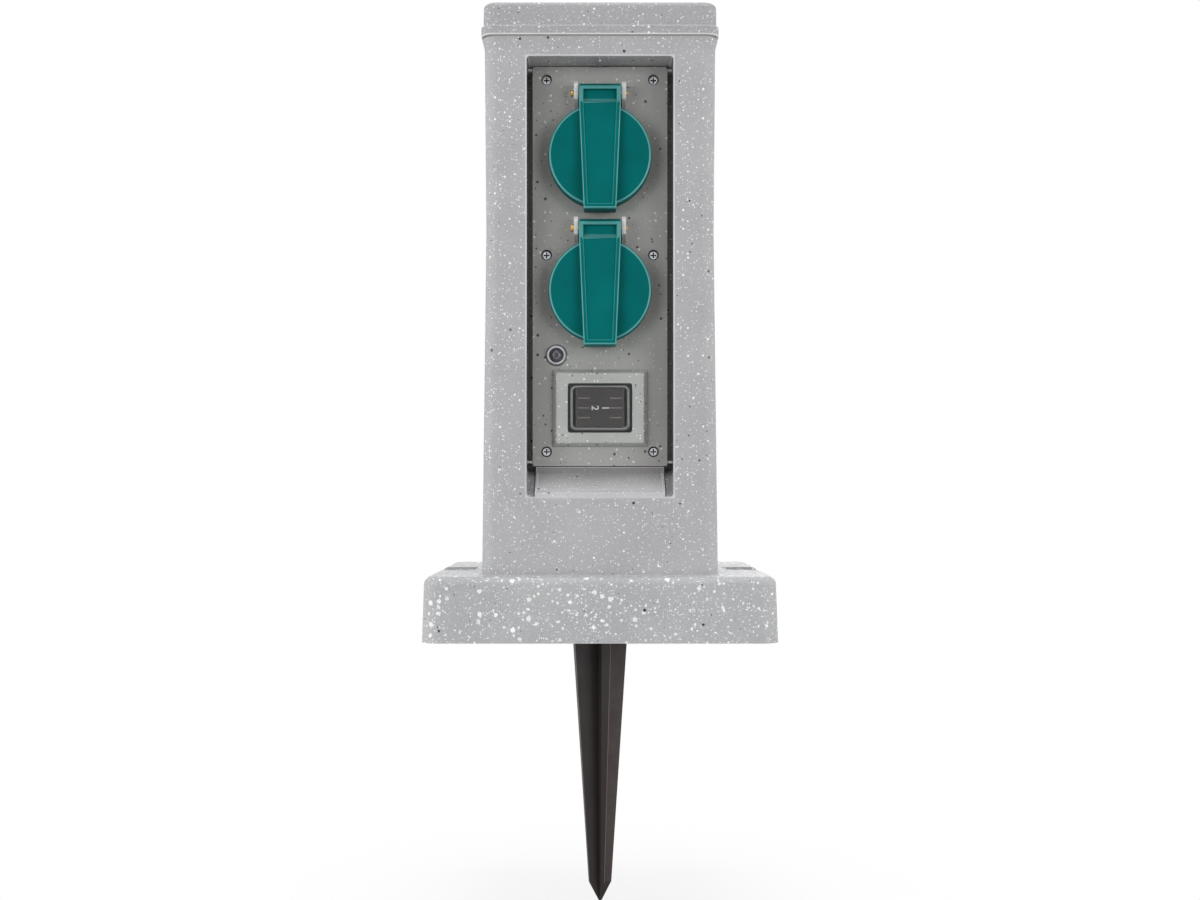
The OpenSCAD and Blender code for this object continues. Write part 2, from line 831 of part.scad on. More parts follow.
module panel_screws() {
  color(zinc)
    for (p = screw_places)
      translate([p[0], panel_y + 1.7, p[1]])
        driven_screw(screw_head_r, 1.8, screw_r, screw_len);
}

module inner_box() {
  mid_z = (box_top + box_bottom) / 2;
  tall = box_top - box_bottom;
  color([0.8, 0.8, 0.78])
    difference() {
      union() {
        panel_prism(box_flange_w, tall + 5, 3, box_front_y, box_front_y + box_flange_t, mid_z);
        panel_prism(box_w, tall, 2, box_front_y, box_back_y, mid_z);
        for (p = screw_places)
          rod_y(box_boss_r, box_front_y, box_front_y + box_boss_len, p[0], p[1]);
      }
      difference() {
        panel_prism(
          box_w - 2 * box_wall, tall - 2 * box_wall, 1,
          box_front_y - 1, box_back_y - box_wall, mid_z
        );
        for (p = screw_places)
          rod_y(box_boss_r, box_front_y, box_front_y + box_boss_len, p[0], p[1]);
        for (p = board_holes)
          rod_y(2.6, board_y + board_t, box_back_y, p[0], p[1]);
      }
      for (p = screw_places)
        rod_y(screw_r + screw_gap, box_front_y - 1, box_front_y + box_boss_len - 1.5, p[0], p[1]);
      for (p = board_holes)
        rod_y(1 + screw_gap, board_y, board_y + board_t + 8, p[0], p[1]);
      translate([0, gland_y, box_bottom - 1])
        cylinder(r = gland_r + 0.1, h = box_wall + 2);
    }
}

module box_gasket() {
  mid_z = (box_top + box_bottom) / 2;
  tall = box_top - box_bottom;
  y0 = seat_y + seat_t;
  color(rubber)
    difference() {
      panel_prism(box_flange_w - 1, tall + 4, 3, y0, y0 + box_gasket_t, mid_z);
      panel_prism(box_w - 2 * box_wall + 2.4, tall - 3, 1, y0 - 1, y0 + box_gasket_t + 1, mid_z);
      for (p = screw_places)
        rod_y(tab_r + 0.4, y0 - 1, y0 + box_gasket_t + 1, p[0], p[1]);
    }
}

module socket_cup(z) {
  tower_end = cup_back_y + tower_len;
  slot_low = socket_r - 1;
  color(panel_grey)
    difference() {
      union() {
        rod_y(cup_r, cup_front_y, cup_back_y, 0, z);
        rod_y(cup_flange_r, panel_back_y, panel_back_y + cup_flange_t, 0, z);
        for (s = [-1, 1]) {
          rod_y(3, panel_back_y, panel_back_y + cup_flange_t, s * cup_screw_x, z);
          rod_y(tower_r, cup_back_y - eps, tower_end, s * pin_pitch / 2, z);
        }
      }
      rod_y(socket_r, cup_front_y - 1, cup_floor_y, 0, z);
      for (s = [-1, 1]) {
        rod_y(contact_hole_r, cup_floor_y - 1, tower_end + 1, s * pin_pitch / 2, z);
        rod_y(contact_r + screw_gap, cup_floor_y + 1, tower_end + 1, s * pin_pitch / 2, z);
        rod_y(cup_screw_r + loose_gap, panel_back_y - 1, panel_back_y + cup_flange_t + 1, s * cup_screw_x, z);
        block(
          [-clip_w / 2 - 0.3, cup_floor_y - 15.2, z + (s > 0 ? slot_low : -clip_r - clip_t - 0.3)],
          [clip_w / 2 + 0.3, cup_back_y + 1, z + (s > 0 ? clip_r + clip_t + 0.3 : -slot_low)]
        );
      }
    }
}

module cup_screws(z) {
  color(zinc)
    for (s = [-1, 1])
      translate([s * cup_screw_x, panel_back_y + cup_flange_t + 1.5, z])
        rotate([0, 0, 180])
          driven_screw(1.9, 1.5, cup_screw_r, 3.8);
}

module contacts(z) {
  tube_y = cup_floor_y + 1;
  tube_end = cup_back_y + tower_len - 1;
  color(brass)
    for (s = [-1, 1]) {
      difference() {
        rod_y(contact_r, tube_y, tube_end, s * pin_pitch / 2, z);
        rod_y(contact_r - 0.45, tube_y - 1, tube_end - 2, s * pin_pitch / 2, z);
      }
      rod_y(1.5, tube_end - eps, tube_end + 4, s * pin_pitch / 2, z);
    }
}

module earth_clip(z) {
  bar_y = cup_back_y + 0.9;
  color(brass) {
    for (s = [-1, 1])
      block(
        [-clip_w / 2, cup_floor_y - 14.5, z + (s > 0 ? clip_r : -clip_r - clip_t)],
        [clip_w / 2, bar_y, z + (s > 0 ? clip_r + clip_t : -clip_r)]
      );
    block([-clip_w / 2, bar_y - clip_t, z - clip_r - eps], [clip_w / 2, bar_y, z + clip_r + eps]);
  }
}

// One flap at its place: a disc with a skirt over the collar, and a strap from the knuckle to the pull
module flap(z) {
  axis_z = z + hinge_rise;
  disc_back = disc_y + flap_t;
  color(teal)
    difference() {
      union() {
        difference() {
          union() {
            rod_y(flap_r, disc_y + 0.6, panel_y - 0.5, 0, z);
            translate([0, disc_y, z])
              rotate([-90, 0, 0])
                cylinder(r1 = flap_r - 0.6, r2 = flap_r, h = 0.6);
          }
          rod_y(skirt_in_r, disc_back, panel_y + 1, 0, z);
          skirt_trim(z);
        }
        strap(axis_z);
      }
      rod_x(hinge_pin_r + pin_gap, strap_top_w + 2, hinge_y, axis_z);
      rod_x(spring_room_r, spring_len + 2.4, hinge_y, axis_z);
      block(
        [-spring_len / 2 - 1.2, hinge_y, axis_z - spring_room_r],
        [spring_len / 2 + 1.2, hinge_y + 6, axis_z + spring_room_r]
      );
    }
}

// Cuts the skirt back towards the hinge, so that it clears the collar as the flap lifts
module skirt_trim(z) {
  top = z + flap_r + 0.1;
  bottom = z - flap_r;
  translate([-flap_r - 1, 0, 0])
    rotate([90, 0, 90])
      linear_extrude(2 * flap_r + 2)
        polygon([
          [panel_y - 0.6, bottom - 1], [panel_y - 0.6, bottom + 1], [hinge_y - 0.6, top],
          [hinge_y - 0.6, top + 2], [panel_y + 2, top + 2], [panel_y + 2, bottom - 1]
        ]);
}

// The strap, from the knuckle round the pin to the pull at the free end
module strap(axis_z) {
  end_z = -strap_len;
  pull_y = 3;
  difference() {
    intersection() {
      translate([-strap_top_w / 2, hinge_y, axis_z])
        rotate([90, 0, 90])
          linear_extrude(strap_top_w)
            polygon([
              [-1.2, strap_top], [2, strap_top - 1.2], [strap_top - 0.8, 0], [2, -2.2], [0, -3.6],
              [disc_y + flap_t - 0.3 - hinge_y, -4.4],
              [disc_y + flap_t - 0.3 - hinge_y, -hinge_rise + skirt_in_r * -1],
              [pull_y, end_z + 2.2], [pull_y, end_z + 0.4], [pull_y - 0.4, end_z],
              [-strap_end_out + 0.4, end_z], [-strap_end_out, end_z + 0.4],
              [-strap_top_out, 1.6], [-strap_top_out + 0.5, 2.4], [-3, strap_top]
            ]);
      translate([0, hinge_y + 10, axis_z])
        rotate([90, 0, 0])
          linear_extrude(30)
            polygon([
              [-strap_top_w / 2, strap_top + 1], [strap_top_w / 2, strap_top + 1], [strap_top_w / 2, -3],
              [strap_end_w / 2, end_z + 0.4], [strap_end_w / 2 - 0.4, end_z],
              [-strap_end_w / 2 + 0.4, end_z], [-strap_end_w / 2, end_z + 0.4], [-strap_top_w / 2, -3]
            ]);
    }
    strap_field(axis_z);
    strap_window(axis_z);
  }
}

// The long sunk field on the strap's sloping face
module strap_field(axis_z) {
  top = -5;
  bottom = -strap_len + strap_border + 0.4;
  half_top = strap_top_w / 2 - strap_border - 0.2;
  half_end = strap_end_w / 2 - strap_border;
  translate([0, hinge_y - strap_top_out, axis_z])
    rotate([-strap_slope, 0, 0])
      rotate([90, 0, 0])
        translate([0, 0, -strap_sunk])
          linear_extrude(3)
            polygon([[-half_top, top], [half_top, top], [half_end, bottom], [-half_end, bottom]]);
}

// The deeper window over the knuckle, with a sloping lower edge
module strap_window(axis_z) {
  half = strap_top_w / 2 - strap_border;
  deep = 2.5;
  face = -strap_top_out;
  translate([-half, hinge_y, axis_z])
    rotate([90, 0, 90])
      linear_extrude(2 * half)
        polygon([
          [face - 1, 0.9], [face + deep, 0.9], [face + deep, -3.1],
          [face + strap_sunk - 0.4, -5], [face - 1, -5]
        ]);
}

module flap_seal(z) {
  y0 = disc_y + flap_t;
  outer = skirt_in_r - 0.1;
  color(rubber)
    difference() {
      rod_y(outer, y0, collar_y - slide_gap, 0, z);
      rod_y(outer - seal_w, y0 - 1, collar_y + 1, 0, z);
    }
}

module hinge_pin(z) {
  half = ear_gap + ear_t + 0.7;
  color(brass) {
    rod_x(hinge_pin_r, 2 * half, hinge_y, z + hinge_rise);
    rod_x(hinge_pin_r + 0.6, 0.7, hinge_y, z + hinge_rise, -half - 0.3);
  }
}

// A coil round the hinge pin, its two ends running on for one wire thickness
module flap_spring(z) {
  steps = 8;
  n = spring_turns * steps;
  turn = [
    for (i = [0 : n])
      let (a = 360 * i / steps)
        [-spring_len / 2 + spring_len * i / n, spring_r * cos(a), spring_r * sin(a)]
  ];
  start = turn[0] - [0, 0, spring_wire];
  finish = turn[n] + [0, 0, spring_wire];
  coil = concat([start], turn, [finish]);
  echo(spring_gap = spring_pitch - spring_wire);
  color(zinc)
    translate([0, hinge_y, z + hinge_rise])
      sweep_tube(coil, spring_wire / 2, 6);
}

module sensor_bezel() {
  stem_r = sensor_ring_r - 1;
  color(zinc)
    difference() {
      union() {
        translate([-sensor_x, panel_y - 1.4, sensor_z])
          rotate([-90, 0, 0])
            cylinder(r1 = sensor_ring_r - 0.8, r2 = sensor_ring_r, h = 1.4);
        rod_y(stem_r, panel_y - 0.5, panel_y + 9, -sensor_x, sensor_z);
      }
      rod_y(sensor_lens_r + screw_gap, panel_y - 3, panel_y + 6, -sensor_x, sensor_z);
      rod_y(sensor_lens_r - 0.5, panel_y + 5, panel_y + 10, -sensor_x, sensor_z);
    }
}

module sensor_lens() {
  dome_r = sensor_lens_r * 1.35;
  set_back = sqrt(dome_r * dome_r - sensor_lens_r * sensor_lens_r);
  face_y = panel_y - 0.9;
  color(black) {
    rod_y(sensor_lens_r, face_y, panel_y + 6, -sensor_x, sensor_z);
    intersection() {
      translate([-sensor_x, face_y + set_back, sensor_z])
        sphere(r = dome_r);
      rod_y(sensor_lens_r, face_y - 3, face_y + 0.5, -sensor_x, sensor_z);
    }
  }
}

module sensor_nut() {
  color(zinc)
    difference() {
      translate([-sensor_x, panel_back_y, sensor_z])
        rotate([-90, 0, 0])
          hex_prism(11, 2.4);
      rod_y(sensor_ring_r - 1 + screw_gap, panel_back_y - 1, panel_back_y + 4, -sensor_x, sensor_z);
    }
}

module photocell() {
  cell_y = panel_y + 6.1;
  color([0.75, 0.55, 0.3]) {
    rod_y(2.4, cell_y, cell_y + 2, -sensor_x, sensor_z);
    for (s = [-1, 1])
      rod_y(0.3, cell_y + 2 - eps, board_y, -sensor_x + s * 1.2, sensor_z);
  }
}

frame_pegs = [for (x = [-1, 1]) for (z = [-1, 1]) [x * (frame_w / 2 - 3.4), switch_z + z * (frame_h / 2 - 4)]];

module switch_frame() {
  color(bezel_grey) {
    difference() {
      hull() {
        panel_prism(frame_w, frame_h, 0.8, panel_y - 0.6, panel_y, switch_z);
        panel_prism(
          frame_w - 2 * frame_slope, frame_h - 2 * frame_slope, 0.6,
          frame_y, frame_y + 0.5, switch_z
        );
      }
      panel_prism(window_w, window_h, 1, frame_y - 1, panel_y + 1, switch_z);
    }
    for (p = frame_pegs)
      rod_y(1.3, panel_y - 0.5, panel_back_y + 1, p[0], p[1]);
  }
}

module switch_body() {
  color(black)
    difference() {
      union() {
        panel_prism(body_w, body_h, 1, frame_y, body_back_y, switch_z);
        for (s = [-1, 1])
          translate([0, panel_back_y + 0.1, switch_z + s * body_h / 2])
            scale([1, 1, s])
              switch_catch();
      }
      panel_prism(well_w, well_h, 1, frame_y - 1, panel_y + 8, switch_z);
      translate([0, rocker_y, switch_z - well_h / 2 - 2])
        cylinder(r = trunnion_r + pin_gap, h = well_h + 4);
    }
}

// A wedge that snaps behind the panel
module switch_catch() {
  translate([-5, 0, 0])
    rotate([90, 0, 90])
      linear_extrude(10)
        polygon([[0, -1], [0, 1.2], [4, 0], [4, -1]]);
}

module switch_rocker() {
  half = rocker_w / 2;
  rib_h = 0.3;
  color([0.24, 0.22, 0.22]) {
    translate([0, rocker_y, switch_z - rocker_h / 2])
      linear_extrude(rocker_h)
        union() {
          polygon([
            [-half, -rocker_out + 0.4], [-half + 0.5, -rocker_out], [0, -rocker_out + rocker_dip],
            [half - 0.5, -rocker_out], [half, -rocker_out + 0.4], [half, -3.4], [3, 1.6], [-3, 1.6],
            [-half, -3.4]
          ]);
          circle(r = 3.2);
        }
    translate([0, rocker_y, switch_z - rocker_h / 2 - 1.4])
      cylinder(r = trunnion_r, h = rocker_h + 2.8);
    for (s = [-1, 1])
      for (z = [-4.4, 0, 4.4])
        translate([s * half * 0.65, rocker_y - rocker_out + rocker_dip * 0.35, switch_z + z])
          block([-2.75, -rib_h, -0.3], [2.75, 0.4, 0.3]);
  }
}

module switch_boot() {
  front_face = frame_y - boot_out;
  color([0.85, 0.87, 0.87, 0.35])
    difference() {
      hull() {
        panel_prism(boot_w, boot_h, 2.4, frame_y - 1, frame_y, switch_z);
        panel_prism(boot_w - 1.2, boot_h - 1.2, 2.4, front_face, front_face + 0.5, switch_z);
      }
      hull() {
        panel_prism(boot_w - 2 * boot_t, boot_h - 2 * boot_t, 1.8, frame_y - 1, frame_y + 1, switch_z);
        panel_prism(
          boot_w - 2 * boot_t - 1, boot_h - 2 * boot_t - 1, 1.8,
          front_face + boot_t, front_face + boot_t + 0.5, switch_z
        );
      }
    }
}

module switch_terminals() {
  color(brass)
    for (x = terminal_xs)
      block([x - 2.4, body_back_y, switch_z - 0.4], [x + 2.4, body_back_y + 7, switch_z + 0.4]);
}

module switch_leads() {
  color([0.25, 0.25, 0.7])
    for (x = terminal_xs)
      rod_y(1, body_back_y + 7, board_y, x, switch_z);
}

module control_board() {
  color(board_green)
    difference() {
      block([-board_w / 2, board_y, board_bottom], [board_w / 2, board_y + board_t, board_top]);
      for (p = board_holes)
        rod_y(1 + loose_gap, board_y - 1, board_y + board_t + 1, p[0], p[1]);
    }
}

module board_screws() {
  color(zinc)
    for (p = board_holes)
      translate([p[0], board_y - 1.4, p[1]])
        driven_screw(1.9, 1.4, 1, 8);
}

module relay() {
  y0 = board_y + board_t;
  color([0.15, 0.3, 0.55])
    difference() {
      block([-9.5, y0, switch_z - 3], [9.5, y0 + 15, switch_z + 12.5]);
      block([-8, y0 + 14.6, switch_z - 1.5], [8, y0 + 16, switch_z + 11]);
    }
}

module terminal_block() {
  y1 = box_back_y - box_wall;
  y0 = y1 - block_d;
  color([0.9, 0.9, 0.86])
    difference() {
      union() {
        block([-block_w / 2, y0, block_z - block_h / 2], [block_w / 2, y1, block_z + block_h / 2]);
        for (x = wire_xs)
          rod_y(4, y0 - 3, y0 + eps, x, block_z);
      }
      for (x = wire_xs) {
        rod_y(2.6, y0 - 4, y0 + 4, x, block_z);
        for (s = [-1, 1])
          translate([x, wire_y, block_z + s * block_h / 2])
            rotate([s > 0 ? 180 : 0, 0, 0])
              translate([0, 0, -1])
                cylinder(r = wire_r + 0.3, h = 6);
      }
    }
}

module terminal_screws() {
  y0 = box_back_y - box_wall - block_d;
  color(zinc)
    for (x = wire_xs)
      difference() {
        rod_y(2.5, y0 - 0.5, y0 + 4, x, block_z);
        block([x - 2.6, y0 - 1, block_z - 0.3], [x + 2.6, y0 + 0.3, block_z + 0.3]);
      }
}

module cable_gland() {
  flange_z = box_bottom - 4;
  color(black)
    translate([0, gland_y, 0])
      difference() {
        union() {
          translate([0, 0, flange_z])
            hex_prism(16, 4);
          translate([0, 0, flange_z - 7])
            cylinder(r = gland_r, h = 7 + 4 + box_wall + 5);
        }
        translate([0, 0, flange_z - 8])
          cylinder(r = cable_r + 0.4, h = 30);
        translate([0, 0, flange_z - 8])
          cylinder(r = cable_r + 1.2, h = 7);
      }
}

module gland_seal() {
  flange_z = box_bottom - 4;
  color(rubber)
    translate([0, gland_y, flange_z - 7])
      difference() {
        cylinder(r = cable_r + 1.15, h = 5.8);
        translate([0, 0, -1])
          cylinder(r = cable_r, h = 8);
      }
}

module gland_cap() {
  flange_z = box_bottom - 4;
  color(black)
    translate([0, gland_y, flange_z - 9.5])
      difference() {
        union() {
          translate([0, 0, 3])
            hex_prism(16, 5.8);
          cylinder(r1 = 5.6, r2 = 7.6, h = 3);
        }
        translate([0, 0, 2.5])
          cylinder(r = gland_r + screw_gap, h = 8);
        translate([0, 0, -1])
          cylinder(r = cable_r + 0.4, h = 5);
      }
}

module gland_nut() {
  color(black)
    translate([0, gland_y, box_bottom + box_wall])
      difference() {
        hex_prism(15, 3.4);
        translate([0, 0, -1])
          cylinder(r = gland_r + screw_gap, h = 6);
      }
}

// A quarter turn from rising to running forwards, in the YZ plane
function bend_up(y, z, r) = [for (i = [0 : 4]) [0, y - r * (1 - cos(22.5 * i)), z - r + r * sin(22.5 * i)]];
function bend_down(y, z, r) = [for (i = [0 : 4]) [0, y - r * (1 - cos(22.5 * i)), z + r - r * sin(22.5 * i)]];

// Wire from the terminal block to the upper and the lower socket, ending at end_y
module wire_pair(x, end_y) {
  block_top = block_z + block_h / 2 - 4;
  block_low = block_z - block_h / 2 + 4;
  bend_r = 5;
  translate([x, 0, 0]) {
    sweep_tube(concat([[0, wire_y, block_top]], bend_up(wire_y, upper_z, bend_r), [[0, end_y, upper_z]]), wire_r, 10);
    sweep_tube(concat([[0, wire_y, block_low]], bend_down(wire_y, lower_z, bend_r), [[0, end_y, lower_z]]), wire_r, 10);
  }
}

contact_end = cup_back_y + tower_len + 3;
clip_end = cup_back_y + 0.9;

module live_wires() {
  color([0.45, 0.27, 0.15])
    wire_pair(wire_xs[0], contact_end);
}

module neutral_wires() {
  color([0.15, 0.35, 0.75])
    wire_pair(wire_xs[2], contact_end);
}

module earth_wires() {
  color([0.35, 0.65, 0.2])
    wire_pair(wire_xs[1], clip_end);
}

module upper_socket_cup() { socket_cup(upper_z); }
module lower_socket_cup() { socket_cup(lower_z); }
module upper_cup_screws() { cup_screws(upper_z); }
module lower_cup_screws() { cup_screws(lower_z); }
module upper_contacts() { contacts(upper_z); }
module lower_contacts() { contacts(lower_z); }
module upper_earth_clip() { earth_clip(upper_z); }
module lower_earth_clip() { earth_clip(lower_z); }
module upper_flap() { flap(upper_z); }
module lower_flap() { flap(lower_z); }
module upper_flap_seal() { flap_seal(upper_z); }
module lower_flap_seal() { flap_seal(lower_z); }
module upper_hinge_pin() { hinge_pin(upper_z); }
module lower_hinge_pin() { hinge_pin(lower_z); }
module upper_flap_spring() { flap_spring(upper_z); }
module lower_flap_spring() { flap_spring(lower_z); }

base_foot();
ground_spike();
spike_bolt();
spike_washer();
spike_nut();
base_screws();
column_shell();
drip_apron();
cap_gasket();
top_cap();
socket_panel();
panel_screws();
inner_box();
box_gasket();
upper_socket_cup();
lower_socket_cup();
upper_cup_screws();
lower_cup_screws();
upper_contacts();
lower_contacts();
upper_earth_clip();
lower_earth_clip();
upper_flap();
lower_flap();
upper_flap_seal();
lower_flap_seal();
upper_hinge_pin();
lower_hinge_pin();
upper_flap_spring();
lower_flap_spring();
sensor_bezel();
sensor_lens();
sensor_nut();
photocell();
switch_frame();
switch_body();
switch_rocker();
switch_boot();
switch_terminals();
switch_leads();
control_board();
board_screws();
relay();
terminal_block();
terminal_screws();
cable_gland();
gland_seal();
gland_cap();
gland_nut();
live_wires();
neutral_wires();
earth_wires();
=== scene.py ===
"""Garden socket post, dressed: a stone-look post with two flap sockets, a dusk sensor and a switch.

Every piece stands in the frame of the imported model, in metres, with +Z up and the front facing -Y.
The sizes of zones, sub-assemblies and patterns are in millimetres, unless a name or comment says otherwise.
"""

import json
import logging
from dataclasses import dataclass, replace
from enum import Enum, IntEnum
from functools import cache
from math import atan2, hypot, pi, radians
from typing import Any, ClassVar

import bmesh
import bpy
from mathutils import Matrix, Vector

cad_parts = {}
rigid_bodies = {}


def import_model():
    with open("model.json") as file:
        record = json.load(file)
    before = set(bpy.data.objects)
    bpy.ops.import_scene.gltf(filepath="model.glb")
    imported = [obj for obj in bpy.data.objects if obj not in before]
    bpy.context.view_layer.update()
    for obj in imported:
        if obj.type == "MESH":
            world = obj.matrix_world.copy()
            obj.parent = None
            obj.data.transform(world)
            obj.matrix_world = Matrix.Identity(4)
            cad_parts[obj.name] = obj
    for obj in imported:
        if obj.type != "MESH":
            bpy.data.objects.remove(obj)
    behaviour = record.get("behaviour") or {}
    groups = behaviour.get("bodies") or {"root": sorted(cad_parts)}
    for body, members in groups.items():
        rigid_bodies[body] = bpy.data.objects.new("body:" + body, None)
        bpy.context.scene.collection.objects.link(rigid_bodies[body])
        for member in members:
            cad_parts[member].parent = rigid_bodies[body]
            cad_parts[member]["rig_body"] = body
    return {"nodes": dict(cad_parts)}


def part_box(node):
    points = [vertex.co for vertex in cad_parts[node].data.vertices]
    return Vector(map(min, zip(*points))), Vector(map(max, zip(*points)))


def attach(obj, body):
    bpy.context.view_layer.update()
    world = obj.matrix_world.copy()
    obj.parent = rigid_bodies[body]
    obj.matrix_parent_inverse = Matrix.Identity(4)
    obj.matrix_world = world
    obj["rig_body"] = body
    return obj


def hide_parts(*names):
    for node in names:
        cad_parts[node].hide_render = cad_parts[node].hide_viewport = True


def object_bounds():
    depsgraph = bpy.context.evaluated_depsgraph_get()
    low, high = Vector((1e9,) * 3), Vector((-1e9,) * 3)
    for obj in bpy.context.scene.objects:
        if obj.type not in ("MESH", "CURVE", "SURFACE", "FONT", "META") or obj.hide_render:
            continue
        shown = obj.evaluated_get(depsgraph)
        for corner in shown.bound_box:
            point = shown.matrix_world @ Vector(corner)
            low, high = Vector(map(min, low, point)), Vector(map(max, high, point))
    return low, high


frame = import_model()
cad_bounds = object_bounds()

log = logging.getLogger("socket_post")

MM = 0.001
PHOTO_WIDTH = 1200
PHOTO_HEIGHT = 900

Colour = tuple[float, float, float, float]
Point = tuple[float, float, float]
Span = tuple[float, float]
Inputs = dict[Any, Any] | tuple[Any, ...]
Socket = bpy.types.NodeSocket
Tree = bpy.types.NodeTree
Node = bpy.types.Node
Object = bpy.types.Object

WHITE: Colour = (1.0, 1.0, 1.0, 1.0)
FORWARD: Point = (0.0, -1.0, 0.0)
ROCKER_BODY = "rocker_body"
# Farther out than any piece, in millimetres
FAR = 1000.0
# Edges that turn by more than this many degrees are shown sharp, and are rounded where a piece is softened
SHARP_ANGLE = 35.0
# Edges that turn by less than this many degrees are merged into one flat face in a copy
FLAT_ANGLE = 1.5
# Corners closer than this, in metres, are one corner
WELD_GAP = 2e-6
# Faces across a rounding
ROUNDING_STEPS = 2
# How closely a face has to face a way to count, 1 for exactly
ROUGHLY = 0.7


class Axis(IntEnum):
    """The axes of the frame, by their place in a point."""

    X = 0
    Y = 1
    Z = 2


class Half(Enum):
    """The two halves of the rocker, each with its sign along X and its numeral."""

    LEFT = (-1, "2")
    RIGHT = (1, "1")

    @property
    def side(self) -> int:
        """Gives the half's sign along X."""
        return self.value[0]

    @property
    def numeral(self) -> str:
        """Gives the numeral printed on the half."""
        return self.value[1]


class Level(Enum):
    """The two sockets, one above the other."""

    UPPER = "upper"
    LOWER = "lower"

    def hinge(self) -> Span:
        """Gives the place of the flap's hinge axis along Y and Z, in millimetres."""
        low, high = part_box(f"{self.value}_hinge_pin")
        return ((low[1] + high[1]) / 2 / MM, (low[2] + high[2]) / 2 / MM)


# Colours and nodes


def tint(hex_code: str) -> Colour:
    """Turns an sRGB hex code into the linear colour that a shader socket takes.

    Args:
        hex_code: Six hex digits after a hash.

    Returns:
        Linear red, green, blue and an alpha of 1.
    """
    levels = [int(hex_code[i : i + 2], 16) / 255 for i in (1, 3, 5)]
    # The curve of sRGB: straight up to its knee, then a power
    linear = [v / 12.92 if v <= 0.04045 else ((v + 0.055) / 1.055) ** 2.4 for v in levels]
    return (linear[0], linear[1], linear[2], 1.0)


def feed(tree: Tree, node: Node, inputs: Inputs) -> None:
    """Gives a node's inputs their values and links.

    Args:
        tree: The node tree.
        node: The node.
        inputs: A value or a socket for each input, by name or number, or in their order.
    """
    named = inputs if isinstance(inputs, dict) else dict(enumerate(inputs))
    for key, value in named.items():
        if isinstance(value, Socket):
            tree.links.new(value, node.inputs[key])
        else:
            node.inputs[key].default_value = value


def add(tree: Tree, kind: str, inputs: Inputs = (), **settings: Any) -> Node:
    """Adds one node with its settings, values and links.

    Args:
        tree: The node tree that takes it.
        kind: The node's type, such as ShaderNodeMix.
        inputs: A value or a socket for each input, by name or number, or in their order.
        settings: The node's own properties.

    Returns:
        The new node.
    """
    node = tree.nodes.new(kind)
    for name, value in settings.items():
        setattr(node, name, value)
    feed(tree, node, inputs)
    return node


@dataclass(frozen=True)
class Surface:
    """A surface while its material is made: its nodes, its shader and the place that each pattern reads."""

    tree: Tree
    shader: Node
    place: Socket

    # Numbers of a Mix node's colour inputs and of its colour output
    UNDER: ClassVar[int] = 6
    OVER: ClassVar[int] = 7
    MIXED: ClassVar[int] = 2

    def give(self, inputs: dict[str, Any]) -> None:
        """Gives the shader's inputs, by name, their values and links."""
        feed(self.tree, self.shader, inputs)

    def coat(self, mask: Socket, colour: str) -> None:
        """Lays a colour over what is there, as far as a mask says.

        Args:
            mask: 0 where the old colour stays and 1 where the new one covers it.
            colour: The new colour's hex code.
        """
        base = self.shader.inputs["Base Color"]
        under = base.links[0].from_socket if base.is_linked else tuple(base.default_value)
        layers = {0: mask, self.UNDER: under, self.OVER: tint(colour)}
        mixed = add(self.tree, "ShaderNodeMix", layers, data_type="RGBA").outputs[self.MIXED]
        self.give({"Base Color": mixed})

    def patches(self, lump_mm: float, levels: Span, most: float = 1.0, detail: float = 3.0) -> Socket:
        """Makes a mask of soft, irregular patches.

        Args:
            lump_mm: The width of a patch.
            levels: The noise's levels where a patch begins and where it is full.
            most: The mask's value where a patch is full.
            detail: Octaves of finer noise.

        Returns:
            The mask, from 0 to the most.
        """
        cloudy = {"Vector": self.place, "Scale": 1 / (lump_mm * MM), "Detail": detail}
        level = add(self.tree, "ShaderNodeTexNoise", cloudy).outputs[0]
        return add(self.tree, "ShaderNodeMapRange", (level, *levels, 0, most)).outputs[0]

    def emboss(self, height: Socket, depth_mm: float) -> None:
        """Gives the surface a relief.

        Args:
            height: The relief, from 0 to 1.
            depth_mm: Its depth.
        """
        relief = {"Strength": 1.0, "Distance": depth_mm * MM, "Height": height}
        self.give({"Normal": add(self.tree, "ShaderNodeBump", relief).outputs[0]})

    def grain(self, lump_mm: float, depth_mm: float, detail: float = 2.0) -> Socket:
        """Gives the surface an irregular fine grain.

        Args:
            lump_mm: The width of a grain.
            depth_mm: The depth of the grain.
            detail: Octaves of finer noise.

        Returns:
            The grain's height, from 0 to 1.
        """
        lumpy = {"Vector": self.place, "Scale": 1 / (lump_mm * MM), "Detail": detail}
        height = add(self.tree, "ShaderNodeTexNoise", lumpy).outputs[0]
        self.emboss(height, depth_mm)
        return height

    def show(self, shader: Socket) -> None:
        """Makes a shader the one that the material shows."""
        self.tree.links.new(shader, self.tree.nodes["Material Output"].inputs["Surface"])


